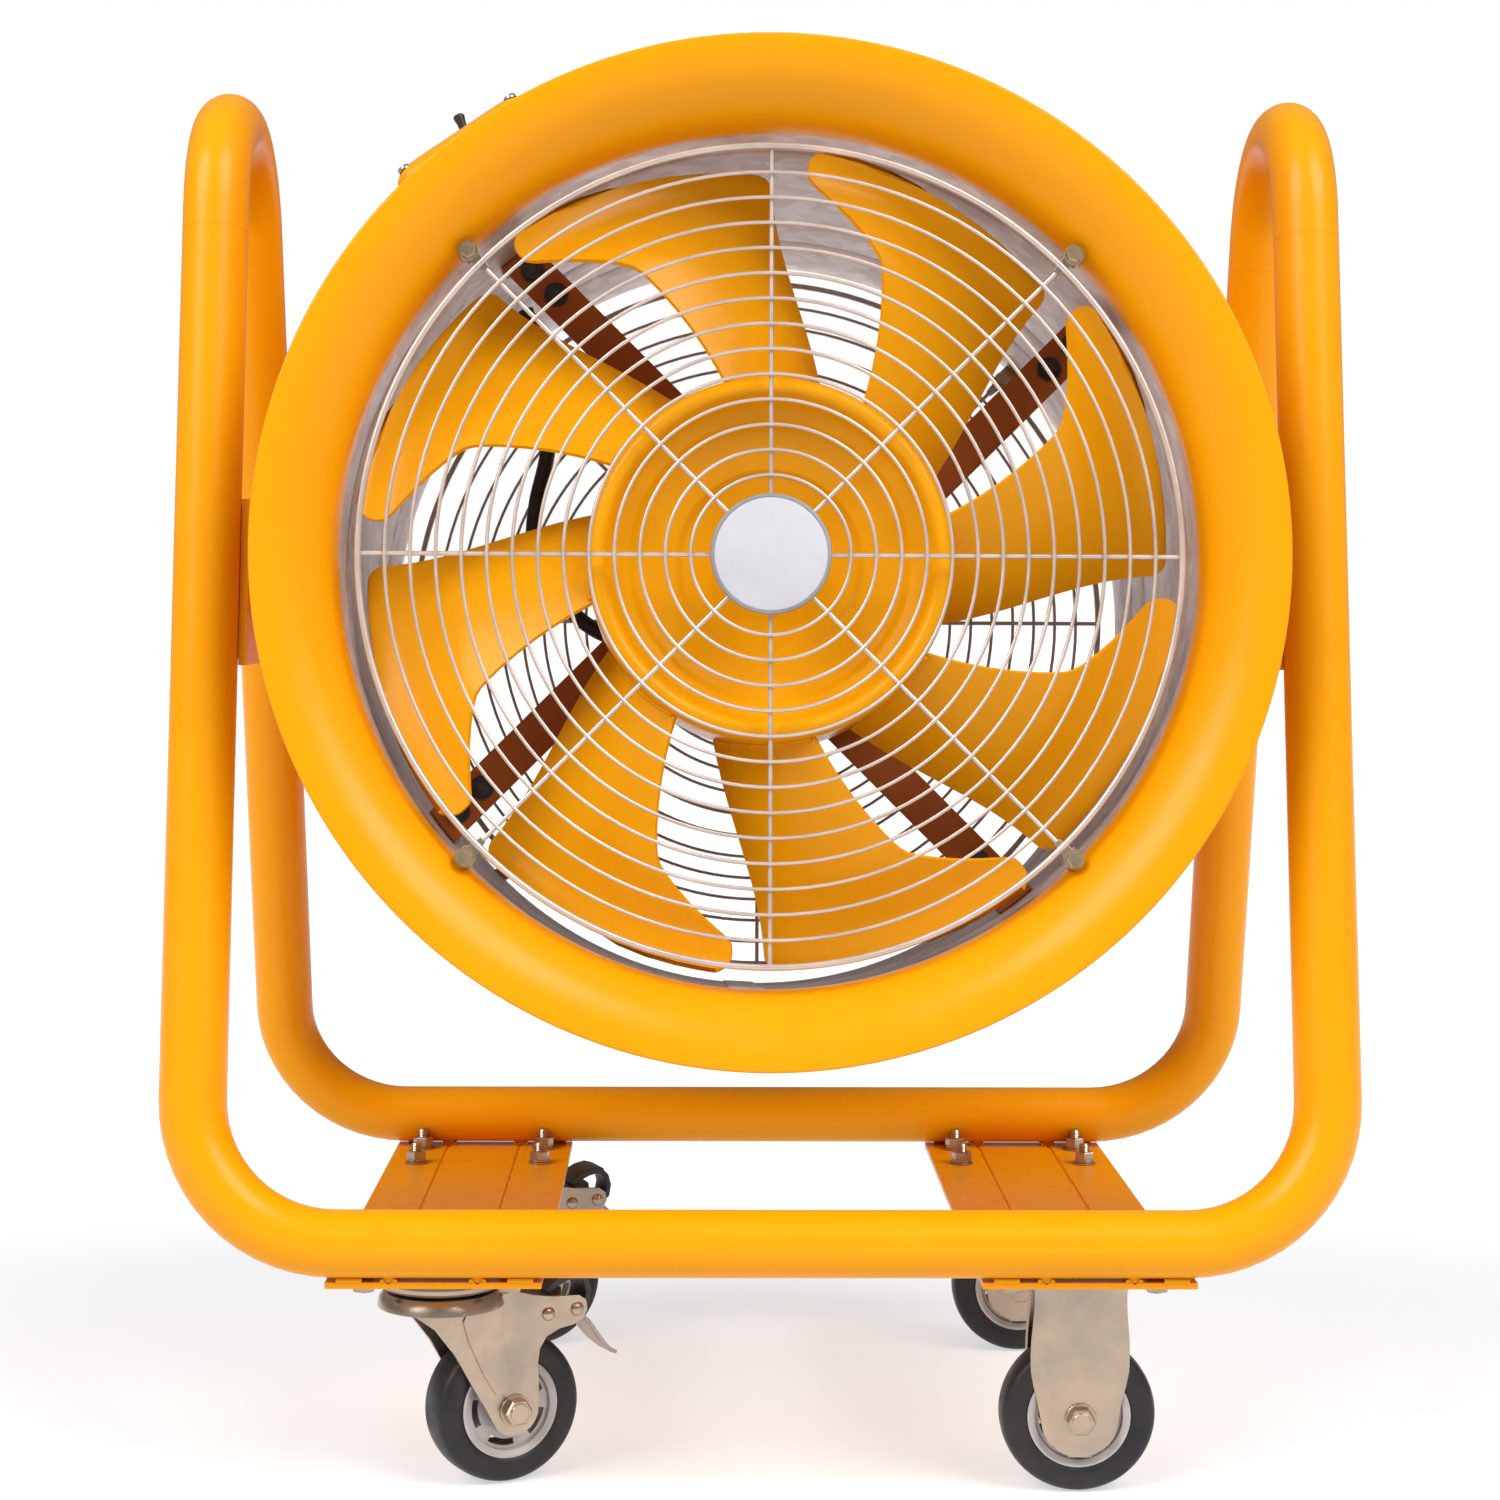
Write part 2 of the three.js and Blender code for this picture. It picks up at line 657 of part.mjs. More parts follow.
// ---- Impeller -------------------------------------------------------------------------------

function impellerHub() {
  return lathe([
    [22, -137], [57, -137], [60, -141], [86, -143], [90, -151], [98, -153], [103, -167],
    [109, -171], [HUB_R, -164], [HUB_R, -93],
    [HUB_R - 3, -93], [HUB_R - 3, -162], [105, -163], [101, -150], [92, -147.5],
    [88.5, -140], [62, -138], [58, -134], [22, -134],
    [22, -115], [SHAFT_R + GAP, -115], [SHAFT_R + GAP, -147], [22, -147],
  ], 28);
}

// The blade is a twisted sheet. A share of its length runs from the root (0) to the tip (1).
function shareAt(radius) {
  return (radius - BLADE_ROOT_R) / (BLADE_TIP_R - BLADE_ROOT_R);
}

function cornerTrim(radius, corner) {
  const left = Math.min(BLADE_TIP_R - radius, corner);
  return (corner - Math.sqrt(corner ** 2 - (corner - left) ** 2)) / radius;
}

// The leading edge sweeps forwards along a soft bend and ends in a blunt finger.
function leadingAngle(radius) {
  const share = shareAt(radius);
  const past = share - 0.617;
  const swept = 1 + 17 * share + 20 * (past + Math.hypot(past, 0.03));
  const end = 26.6;
  const blunt = (swept + end - Math.hypot(swept - end, 0.8)) / 2;
  return blunt * RAD - cornerTrim(radius, 9);
}

function trailingAngle(radius) {
  return (-30.8 + 17.4 * (1 - (1 - shareAt(radius)) ** 2.1)) * RAD + cornerTrim(radius, 11);
}

// A point of the blade's front face. chord runs from the leading edge (0) to the trailing edge (1).
function bladePoint(radius, chord) {
  const lead = leadingAngle(radius);
  const angle = lead + (trailingAngle(radius) - lead) * chord;
  const depth = 52 + 8 * shareAt(radius);
  const along = BLADE_FRONT + depth * (0.7 * chord + 0.3 * chord ** 2);
  return new THREE.Vector3(radius * Math.cos(angle), along, radius * Math.sin(angle));
}

function blade() {
  const radii = [BLADE_ROOT_R, 150, 180, 205, 222, 238, 251, 256, 259, BLADE_TIP_R];
  const chords = [0, 0.25, 0.5, 0.75, 1];
  const front = radii.flatMap((radius) => chords.map((chord) => bladePoint(radius, chord)));
  const back = front.map((point) => point.clone().setY(point.y + BLADE_THICK));
  const columns = chords.length;
  const rows = radii.length;
  const indices = [];
  const quad = (a, b, c, d) => indices.push(a, b, c, a, c, d);
  for (let row = 0; row + 1 < rows; row += 1) {
    for (let column = 0; column + 1 < columns; column += 1) {
      const a = row * columns + column;
      const [b, c, d] = [a + 1, a + columns + 1, a + columns];
      quad(a, b, c, d);
      quad(d + front.length, c + front.length, b + front.length, a + front.length);
    }
  }
  const edge = [
    ...chords.map((_, column) => column),
    ...radii.slice(1).map((_, row) => (row + 2) * columns - 1),
    ...chords.slice(1).map((_, column) => rows * columns - 2 - column),
    ...radii.slice(2).map((_, row) => (rows - 2 - row) * columns),
  ];
  edge.forEach((from, i) => {
    const to = edge[(i + 1) % edge.length];
    quad(to, from, from + front.length, to + front.length);
  });
  const geometry = new THREE.BufferGeometry().setFromPoints([...front, ...back]);
  geometry.setIndex(indices);
  return geometry;
}

piece("impeller_hub", impellerHub(), "paint", drum);
for (let k = 0; k < BLADE_COUNT; k += 1) {
  const angle = BLADE_START + (k / BLADE_COUNT) * 2 * Math.PI;
  turned(piece(`blade_${k + 1}`, blade(), "paint", drum), angle);
}
piece("hub_bolt", join(rod(18, -154.5, SHAFT_FRONT - GAP, 16), rod(9.5, -162, -154, 6)), "zinc", drum);

// ---- Terminal box ---------------------------------------------------------------------------

// Built standing on the drum along +X, then turned to its place around it.
const terminal = new THREE.Group();
terminal.rotation.y = -BOX_ANGLE;
drum.add(terminal);

// A rounded block from one radius to another, its outline measured around and along the drum.
function block(halfAround, halfAlong, corner, from, to) {
  const outline = roundedRectangle(halfAround, halfAlong, corner);
  const shape = new THREE.Shape(outline.map(([x, y]) => new THREE.Vector2(x, y)));
  const solid = new THREE.ExtrudeGeometry(shape, { depth: to - from, bevelEnabled: false });
  return solid.rotateY(Math.PI / 2).translate(from, 0, 0);
}

const [boxAround, boxAlong] = BOX_HALF;
const cavity = block(boxAround - 3, boxAlong - 3, 7, BOX_BOTTOM + 4, BOX_TOP + 1);
const tray = cut(block(boxAround, boxAlong, 10, BOX_BOTTOM, BOX_TOP), cavity);
piece("terminal_box", tray, "paint", terminal);
piece("terminal_box_lid", join(
  block(boxAround + 1, boxAlong + 1, 11, BOX_TOP + GAP, LID_TOP - 6),
  block(boxAround - 5, boxAlong - 5, 7, LID_TOP - 7, LID_TOP),
), "paint", terminal);

// The lever leans to one side in a round collar on the lid and swings about its foot.
const SWITCH_AROUND = -8;
const SWITCH_LEAN = 12 * RAD;
const collar = lathe([
  [5.4, LID_TOP + GAP], [9.5, LID_TOP + GAP], [9.5, LID_TOP + 4], [5.4, LID_TOP + 4],
], 12).rotateZ(-Math.PI / 2);
const lever = rod(4, 0, 15, 10).rotateZ(-Math.PI / 2);
lever.rotateY(SWITCH_LEAN).translate(LID_TOP + 2, 0, 0);
piece("switch_collar", collar, "black", terminal).position.z = SWITCH_AROUND;
piece("toggle_switch", lever, "black", terminal).position.z = SWITCH_AROUND;

const glandFrom = boxAlong + GAP;
piece("cable_gland", cut(
  join(rod(13, glandFrom, glandFrom + 8, 6), rod(10, glandFrom + 7, glandFrom + 22, 12)),
  rod(4.5, glandFrom + 4, glandFrom + 30, 10),
), "black", terminal).position.x = BOX_BOTTOM + 30;

// ---- Motor lead -----------------------------------------------------------------------------

// Leaves the motor's side, bows out behind the struts and climbs to the barrel under the box.
const LEAD_AT = 62;
const leadRoute = [
  [-76, -28], [-112, -24], [-142, 0], [-160, 34], [-160, 66], [-152, 104], [-149, 150], [-168, 206],
];
const leadSection = new THREE.Shape(regular(5.5, 8));
piece("motor_lead", new THREE.ExtrudeGeometry(leadSection, {
  steps: 18,
  extrudePath: new THREE.CatmullRomCurve3(leadRoute.map(([x, z]) => new THREE.Vector3(x, LEAD_AT, z))),
}), "black", drum);

export default group;
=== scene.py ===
"""A portable axial air mover: its looks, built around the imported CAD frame.

Shapes are drawn in millimetres and become metres when a piece is made. +Z is up and the fan faces -Y.
In the drum's own frame Y runs along the fan's axis from the pivot, negative towards the front.
"""

import math
import random

import bmesh
import bpy
from mathutils import Matrix, Vector
from mathutils.geometry import tessellate_polygon


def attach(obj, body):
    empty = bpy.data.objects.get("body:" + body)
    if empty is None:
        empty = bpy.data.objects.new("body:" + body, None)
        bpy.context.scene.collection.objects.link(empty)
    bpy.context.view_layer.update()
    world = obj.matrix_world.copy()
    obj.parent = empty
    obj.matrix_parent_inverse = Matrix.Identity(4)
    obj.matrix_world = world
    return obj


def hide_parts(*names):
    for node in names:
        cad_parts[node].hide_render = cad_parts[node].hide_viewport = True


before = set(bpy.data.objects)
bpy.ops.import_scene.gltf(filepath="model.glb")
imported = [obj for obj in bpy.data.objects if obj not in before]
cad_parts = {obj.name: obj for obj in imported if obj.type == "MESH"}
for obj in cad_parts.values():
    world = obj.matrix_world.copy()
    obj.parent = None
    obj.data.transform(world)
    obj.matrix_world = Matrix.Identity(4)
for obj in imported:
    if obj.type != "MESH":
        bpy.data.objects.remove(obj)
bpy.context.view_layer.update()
random.seed(11)

MM = 0.001
TAU = 2 * math.pi

# Trolley
PIPE_R = 21.1
LEG_X = 355.3
BAR_Y = 225
BAR_Z = 170.5
LEAN = math.radians(12.8)
CORNER_R = 90
JOINT_Z = 804
CREST_Z = 884
PLATE_X = 204
PLATE_WIDTH = 134
PLATE_HALF_LENGTH = 232
PLATE_TOP = 147.5
PLATE_THICK = 4
PIVOT_Z = 575
PIVOT_PLATE_LOW = 526
PIVOT_PLATE_HIGH = 632
PIVOT_PLATE_OUT = 333.8
PIVOT_PLATE_THICK = 5

# Casters
CASTER_Y = 174
CASTER_TOP = PLATE_TOP - PLATE_THICK - 0.3
MOUNT_THICK = 3
WHEEL_R = 50
FORK_IN = 17.5
FORK_OUT = 20.5
TRAIL = 42
FRONT_YAW = math.radians(28)
REAR_YAW = math.radians(22)

# Drum
TILT = math.radians(7)
DRUM_X = 4
BORE_R = 271.5
SHEET = 2.5
FLARE = 48.5
BELL_START = -159.5
BARREL_END = 211
FLANGE_R = 288
LIP_R = 321.7
FRONT_GUARD_AT = -183
REAR_GUARD_AT = 199
BOX_ANGLE = math.radians(124.5)
BOX_BOTTOM = 275
BOX_TOP = 357
LID_TOP = 373
SWITCH_AROUND = -8
STRUT_AT = -70
STRUT_ASIDE = -33.5
MOTOR_AT = -95
MOTOR_R = 74
MOTOR_LENGTH = 178

DRUM = Matrix.Translation((DRUM_X, 0, PIVOT_Z)) @ Matrix.Rotation(-TILT, 4, "X")
ALONG_X = Matrix.Rotation(math.pi / 2, 4, "Y")  # local Z to +X
ALONG_Y = Matrix.Rotation(-math.pi / 2, 4, "X")  # local Z to +Y
FRONTWARDS = Matrix.Rotation(math.pi / 2, 4, "X")  # local Z to -Y


def shift(x=0, y=0, z=0):
    return Matrix.Translation((x, y, z))


def turn(angle, axis="Z"):
    return Matrix.Rotation(angle, 4, axis)


# ---- Camera -----------------------------------------------------------------------------------

camera_data = bpy.data.cameras.new("camera")
camera_data.lens = 70.2
camera_data.sensor_width = 36
camera_data.shift_y = 0.0667
camera_data.clip_end = 200
camera = bpy.data.objects.new("camera", camera_data)
camera.matrix_world = (
    Matrix.Translation((-0.043, -2.014, 0.577))
    @ turn(math.radians(-1.09))
    @ turn(math.radians(90 - 5.13), "X")
    @ turn(math.radians(0.29))
)
bpy.context.scene.collection.objects.link(camera)
bpy.context.scene.camera = camera

# ---- Materials --------------------------------------------------------------------------------


class Finish:
    """A Principled material whose colour, roughness and surface vary by noise in object space."""

    def __init__(self, name, metallic=0.0, **sockets):
        self.material = bpy.data.materials.new(name)
        self.material.use_nodes = True
        self.tree = self.material.node_tree
        self.shader = self.tree.nodes["Principled BSDF"]
        self.shader.inputs["Metallic"].default_value = metallic
        for socket, value in sockets.items():
            self.shader.inputs[socket.replace("_", " ")].default_value = value
        self.place = self.tree.nodes.new("ShaderNodeTexCoord").outputs["Object"]
        self.normal = None

    def stretched(self, scale):
        mapping = self.tree.nodes.new("ShaderNodeMapping")
        mapping.inputs["Scale"].default_value = scale
        self.tree.links.new(self.place, mapping.inputs["Vector"])
        return mapping.outputs["Vector"]

    def noise(self, scale, detail=3.0, roughness=0.55, stretch=None):
        node = self.tree.nodes.new("ShaderNodeTexNoise")
        node.inputs["Scale"].default_value = scale
        node.inputs["Detail"].default_value = detail
        node.inputs["Roughness"].default_value = roughness
        self.tree.links.new(self.stretched(stretch) if stretch else self.place, node.inputs["Vector"])
        return node.outputs["Fac"]

    def cells(self, scale):
        node = self.tree.nodes.new("ShaderNodeTexVoronoi")
        node.inputs["Scale"].default_value = scale
        self.tree.links.new(self.place, node.inputs["Vector"])
        return node.outputs["Color"]

    def spread(self, value, low, high, start=0.3, end=0.7):
        node = self.tree.nodes.new("ShaderNodeMapRange")
        node.inputs["From Min"].default_value = start
        node.inputs["From Max"].default_value = end
        node.inputs["To Min"].default_value = low
        node.inputs["To Max"].default_value = high
        self.tree.links.new(value, node.inputs["Value"])
        return node.outputs["Result"]

    def colour(self, value, *tones):
        """Tones are colours laid evenly over value from 0.3 to 0.7."""
        node = self.tree.nodes.new("ShaderNodeValToRGB")
        ramp = node.color_ramp
        while len(ramp.elements) < len(tones):
            ramp.elements.new(0.5)
        for i, tone in enumerate(tones):
            ramp.elements[i].position = 0.3 + 0.4 * i / (len(tones) - 1)
            ramp.elements[i].color = (*tone, 1)
        self.tree.links.new(value, node.inputs["Fac"])
        self.tree.links.new(node.outputs["Color"], self.shader.inputs["Base Color"])
        return self

    def rough(self, value, low, high):
        self.tree.links.new(self.spread(value, low, high), self.shader.inputs["Roughness"])
        return self

    def bump(self, value, strength, depth_mm):
        node = self.tree.nodes.new("ShaderNodeBump")
        node.inputs["Strength"].default_value = strength
        node.inputs["Distance"].default_value = depth_mm * MM
        self.tree.links.new(value, node.inputs["Height"])
        if self.normal:
            self.tree.links.new(self.normal, node.inputs["Normal"])
        self.normal = node.outputs["Normal"]
        self.tree.links.new(self.normal, self.shader.inputs["Normal"])
        return self


def paint(name, deep, fresh, low=0.28, high=0.4):
    """Enamel on steel: a slow change of tone, orange peel and a little dust in the gloss."""
    f = Finish(name, Specular_IOR_Level=0.16)
    f.colour(f.noise(3.5, 5), deep, fresh).rough(f.noise(28, 6), low, high)
    return f.bump(f.noise(340, 2), 0.12, 0.25).bump(f.noise(60, 3), 0.08, 0.5).material


YELLOW = paint("yellow_enamel", (0.78, 0.295, 0.001), (0.84, 0.325, 0.002), 0.24, 0.34)
BLADE = paint("blade_enamel", (0.74, 0.295, 0.001), (0.83, 0.36, 0.004), 0.2, 0.32)
# Dark brown is painted shade: it stands in for the struts' yellow enamel as it looks in the drum's shadow. The
# motor body and shield share it.
PAINTED_SHADE_BROWN = paint("motor_enamel_painted_shade", (0.28, 0.072, 0.012), (0.34, 0.092, 0.016), 0.38, 0.52)


def galvanised():
    f = Finish("galvanised_sheet", 0.6)
    f.colour(f.cells(85), (0.56, 0.44, 0.41), (0.62, 0.50, 0.47), (0.67, 0.55, 0.52))
    return f.rough(f.noise(45, 4), 0.42, 0.56).bump(f.noise(30, 3), 0.06, 0.3).material


def plated(name, cool, warm, low, high, metallic=0.95, scale=24):
    f = Finish(name, metallic)
    f.colour(f.noise(scale, 4), cool, warm).rough(f.noise(90, 5), low, high)
    return f.bump(f.noise(520, 2), 0.08, 0.1).material


GALVANISED = galvanised()
ZINC = plated("zinc_plate", (0.38, 0.31, 0.26), (0.54, 0.42, 0.31), 0.24, 0.38)
WIRE = plated("guard_wire_plate", (0.54, 0.45, 0.40), (0.68, 0.57, 0.50), 0.3, 0.42, 0.6)
DARK_WIRE = plated("rear_wire_plate", (0.50, 0.46, 0.44), (0.62, 0.58, 0.55), 0.32, 0.45, 0.8)
PRESSED = plated("pressed_steel", (0.34, 0.27, 0.22), (0.50, 0.40, 0.33), 0.32, 0.5, 0.85)
BRASSY = plated("passivated_zinc", (0.50, 0.37, 0.21), (0.64, 0.53, 0.38), 0.22, 0.36)


def rim_finish():
    f = Finish("wheel_rim_finish", 0.25)
    f.colour(f.noise(40, 4), (0.36, 0.33, 0.31), (0.52, 0.48, 0.46)).rough(f.noise(70, 4), 0.3, 0.45)
    return f.bump(f.noise(300, 2), 0.1, 0.15).material


def rubber():
    f = Finish("tyre_rubber", Specular_IOR_Level=0.42)
    f.colour(f.noise(35, 5), (0.008, 0.007, 0.007), (0.022, 0.018, 0.017))
    return f.rough(f.noise(60, 5), 0.34, 0.6).bump(f.noise(420, 3), 0.22, 0.2).material


def plastic(name, deep, fresh, low, high, depth):
    f = Finish(name)
    f.colour(f.noise(22, 4), deep, fresh).rough(f.noise(80, 4), low, high)
    return f.bump(f.noise(700, 2), 0.2, depth).material


RIM = rim_finish()
RUBBER = rubber()
BLACK = plastic("black_plastic", (0.012, 0.012, 0.012), (0.03, 0.029, 0.028), 0.35, 0.5, 0.12)
CAP = plastic("cap_plastic", (0.50, 0.48, 0.52), (0.56, 0.54, 0.58), 0.24, 0.34, 0.04)
CAP_RIM = plastic("cap_rim", (0.22, 0.21, 0.21), (0.30, 0.29, 0.29), 0.3, 0.42, 0.05)

# ---- Shapes -----------------------------------------------------------------------------------


class Shape:
    """A mesh being drawn. place moves, and paint gives the material of, what is added next."""

    def __init__(self, place=None):
        self.bm = bmesh.new()
        self.place = place or Matrix.Identity(4)
        self.paint = 0

    def at(self, place, paint=None):
        self.place = place
        if paint is not None:
            self.paint = paint
        return self

    def face(self, corners):
        corners = list(corners)
        if len(set(corners)) < 3:
            return
        self.bm.faces.new(corners).material_index = self.paint

    def skin(self, rings, around=True, loop=False, caps=True):
        """Joins each ring of points to the next one. loop joins the last to the first."""
        rows = [[self.bm.verts.new(self.place @ Vector(p)) for p in ring] for ring in rings]
        pairs = list(zip(rows, rows[1:]))
        if loop:
            pairs.append((rows[-1], rows[0]))
        count = len(rows[0])
        for a, b in pairs:
            for i in range(count if around else count - 1):
                j = (i + 1) % count
                self.face((a[i], a[j], b[j], b[i]))
        if caps and not loop:
            self.face(reversed(rows[0]))
            self.face(rows[-1])
        return self

    def lathe(self, profile, segments):
        """Turns a closed profile of (radius, along) about Z."""
        rings = [
            [(r * math.cos(a), r * math.sin(a), z) for r, z in profile]
            for a in (TAU * k / segments for k in range(segments))
        ]
        return self.skin(rings, loop=True)

    def rod(self, radius, low, high, segments=24, chamfer=0.0):
        c = chamfer
        profile = [
            (0, low), (radius - c, low), (radius, low + c), (radius, high - c), (radius - c, high),
            (0, high)
        ]
        return self.lathe([p for i, p in enumerate(profile) if c or i not in (1, 4)], segments)

    def sweep(self, path, radius, sides=20, loop=False, squeeze=1.0):
        """A round bar along path. radius is a number or one for each point."""
        points = [Vector(p) for p in path]
        count = len(points)
        last = count if loop else count - 1
        tangents = []
        for i in range(count):
            before = points[(i - 1) % count] if loop or i else points[0]
            after = points[(i + 1) % count] if loop or i < last else points[-1]
            tangents.append((after - before).normalized())
        guess = Vector((0, 0, 1)) if abs(tangents[0].z) < 0.9 else Vector((1, 0, 0))
        normal = (guess - tangents[0] * guess.dot(tangents[0])).normalized()
        rings = []
        for i, (point, tangent) in enumerate(zip(points, tangents)):
            if i:
                normal = tangents[i - 1].rotation_difference(tangent) @ normal
                normal = (normal - tangent * normal.dot(tangent)).normalized()
            side = tangent.cross(normal)
            r = radius[i] if isinstance(radius, list) else radius
            rings.append([
                point + normal * (r * math.cos(TAU * k / sides)) + side * (
                    r * squeeze * math.sin(TAU * k / sides)
                )
                for k in range(sides)
            ])
        return self.skin(rings, loop=loop)

    def torus(self, ring, wire, segments=96, sides=10, flat=1.0):
        """A ring about Z."""
        profile = [
            (ring + wire * math.cos(TAU * k / sides), wire * flat * math.sin(TAU * k / sides))
            for k in range(sides)
        ]
        return self.lathe(profile, segments)

    def plate(self, outline, low, high, holes=()):
        """A flat sheet in X and Y from Z low to high, with holes."""
        loops = [[Vector((*p, 0)) for p in loop] for loop in (outline, *holes)]
        flat = [p for loop in loops for p in loop]
        levels = [[self.bm.verts.new(self.place @ Vector((p.x, p.y, z))) for p in flat] for z in (low, high)]
        for a, b, c in tessellate_polygon(loops):
            self.face((levels[0][c], levels[0][b], levels[0][a]))
            self.face((levels[1][a], levels[1][b], levels[1][c]))
        start = 0
        for loop in loops:
            n = len(loop)
            for i in range(n):
                a, b = start + i, start + (i + 1) % n
                self.face((levels[0][a], levels[0][b], levels[1][b], levels[1][a]))
            start += n
        return self

    def ribbon(self, path, widths, thick):
        """A bent strip. path is (x, z) points, and widths are across it, along Y."""
        points = [Vector((x, 0, z)) for x, z in path]
        rings = []
        for i, point in enumerate(points):
            tangent = (points[min(i + 1, len(points) - 1)] - points[max(i - 1, 0)]).normalized()
            normal = Vector((-tangent.z, 0, tangent.x)) * (thick / 2)
            half = widths[i] / 2
            rings.append([
                point + normal + Vector((0, -half, 0)), point + normal + Vector((0, half, 0)),
                point - normal + Vector((0, half, 0)), point - normal + Vector((0, -half, 0)),
            ])
        return self.skin(rings)

    def mesh(self, name):
        bmesh.ops.remove_doubles(self.bm, verts=self.bm.verts, dist=1e-3)
        bmesh.ops.recalc_face_normals(self.bm, faces=self.bm.faces)
        made = bpy.data.meshes.new(name)
        self.bm.to_mesh(made)
        self.bm.free()
        made.transform(Matrix.Scale(MM, 4))
        return made


def piece(name, shape, materials, body, replaces=(), bevel=0.0, angle=32, steps=2):
    """Makes the drawn shape an object that rides on body. bevel rounds edges sharper than angle."""
    made = shape.mesh(name)
    for entry in materials if isinstance(materials, (list, tuple)) else [materials]:
        made.materials.append(entry)
    made.shade_smooth()
    made.set_sharp_from_angle(angle=math.radians(angle))
    obj = bpy.data.objects.new(name, made)
    bpy.context.scene.collection.objects.link(obj)
    if bevel:
        rounding = obj.modifiers.new("rounded_edges", "BEVEL")
        rounding.width = bevel * MM
        rounding.segments = steps
        rounding.limit_method = "ANGLE"
        rounding.angle_limit = math.radians(angle)
        rounding.harden_normals = True
        rounding.use_clamp_overlap = True
    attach(obj, body)
    if replaces:
        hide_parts(*replaces)
    return obj


def circle(radius, count=32, centre=(0, 0), start=0.0):
    return [
        (
            centre[0] + radius * math.cos(start + TAU * k / count),
            centre[1] + radius * math.sin(start + TAU * k / count)
        )
        for k in range(count)
    ]


def arc(centre, radius, start, end, steps):
    """Points of an arc in degrees."""
    return [
        (
            centre[0] + radius * math.cos(math.radians(start + (end - start) * k / steps)),
            centre[1] + radius * math.sin(math.radians(start + (end - start) * k / steps)),
        )
        for k in range(steps + 1)
    ]


def rounded(half_x, half_y, radius, steps=6):
    corners = [(1, 1, 0), (-1, 1, 90), (-1, -1, 180), (1, -1, 270)]
    return [
        point
        for sx, sy, start in corners
        for point in arc((sx * (half_x - radius), sy * (half_y - radius)), radius, start, start + 90, steps)
    ]


def weld(shape, path, width=3.4, pitch=2.6, loop=False):
    """A ripple of weld beads along path."""
    points = [Vector(p) for p in path]
    if loop:
        points.append(points[0])
    spaced = []
    for a, b in zip(points, points[1:]):
        steps = max(1, round((b - a).length / (pitch / 3)))
        spaced += [a.lerp(b, k / steps) for k in range(steps)]
    if not loop:
        spaced.append(points[-1])
    radii = [width / 2 * (
        0.86 + 0.14 * abs(math.sin(k * math.pi / 3)) + 0.07 * random.random()
    ) for k in range(len(spaced))]
    return shape.sweep(spaced, radii, 8, loop=loop)


def hex_head(shape, place, radius, height, low=0.0, paint=None):
    """A hexagon with its upper edge turned down, standing on place's XY plane."""
    shape.at(place, paint)
    c = radius * 0.1
    return shape.lathe([
        (0, low), (radius, low), (radius, low + height - c), (radius - c, low + height), (0, low + height)
    ], 6)


def thread(shape, place, radius, low, high, pitch=1.25):
    """A screw end with its ridges and a chamfered tip."""
    shape.at(place)
    profile = [(0, low)]
    z = low
    while z + pitch < high - 0.6:
        profile += [(radius - 0.35, z), (radius, z + pitch / 2)]
        z += pitch
    profile += [(radius - 0.35, z), (radius - 1, high), (0, high)]
    return shape.lathe(profile, 20)


# ---- Trolley tubes ----------------------------------------------------------------------------


def leg_y(z):
    return BAR_Y - (z - BAR_Z) * math.tan(LEAN)


def bend(centre, across, up, radius, start, end, steps=14):
    return [
        centre + across * (radius * math.cos(math.radians(a))) + up * (radius * math.sin(math.radians(a)))
        for a in (start + (end - start) * k / steps for k in range(steps + 1))
    ]


def frame_tube(side):
    across = Vector((1, 0, 0))
    up = Vector((0, -side * math.sin(LEAN), math.cos(LEAN)))
    bar = Vector((0, side * BAR_Y, BAR_Z))
    top = (JOINT_Z - BAR_Z) / math.cos(LEAN)
    corner = LEG_X - CORNER_R
    path = [bar - across * LEG_X + up * top]
    path += bend(bar - across * corner + up * CORNER_R, across, up, CORNER_R, 180, 270)
    path += bend(bar + across * corner + up * CORNER_R, across, up, CORNER_R, 270, 360)
    path.append(bar + across * LEG_X + up * top)
    return Shape().sweep(path, PIPE_R, 48)


def top_bend(x):
    lean = math.degrees(LEAN)
    reach = leg_y(CREST_Z)
    radius = reach / (1 / math.cos(LEAN) - math.tan(LEAN))
    start = JOINT_Z + 0.3
    path = [Vector((x, -leg_y(start), start))]
    path += bend(
        Vector((x, 0, CREST_Z - radius)), Vector((0, 1, 0)), Vector((0, 0, 1)), radius, 180 - lean, lean, 28
    )
    path.append(Vector((x, leg_y(start), start)))
    shape = Shape().sweep(path, PIPE_R, 48)
    for side in (-1, 1):
        joint = Vector((x, side * leg_y(JOINT_Z), JOINT_Z + 0.1))
        around = joint_ring(joint, side)
        weld(shape, around, 1.9, 2.4, loop=True)
    return shape


def joint_ring(centre, side):
    """Points round a leg, where a top bend is welded to it. They lie just inside the tube's skin."""
    lean = turn(side * LEAN, "X")
    reach = PIPE_R - 1
    return [
        centre + lean @ Vector((reach * math.cos(a), reach * math.sin(a), 0))
        for a in (TAU * k / 48 for k in range(48))
    ]


piece("front_frame_tube_skin", frame_tube(-1), YELLOW, "trolley", ["front_frame_tube"])
piece("rear_frame_tube_skin", frame_tube(1), YELLOW, "trolley", ["rear_frame_tube"])
piece("left_top_bend_skin", top_bend(-LEG_X), YELLOW, "trolley", ["left_top_bend"])
piece("right_top_bend_skin", top_bend(LEG_X), YELLOW, "trolley", ["right_top_bend"])

# ---- Base plates ------------------------------------------------------------------------------

STRIP = 27.5  # the plate's middle strip lies between two pressed grooves


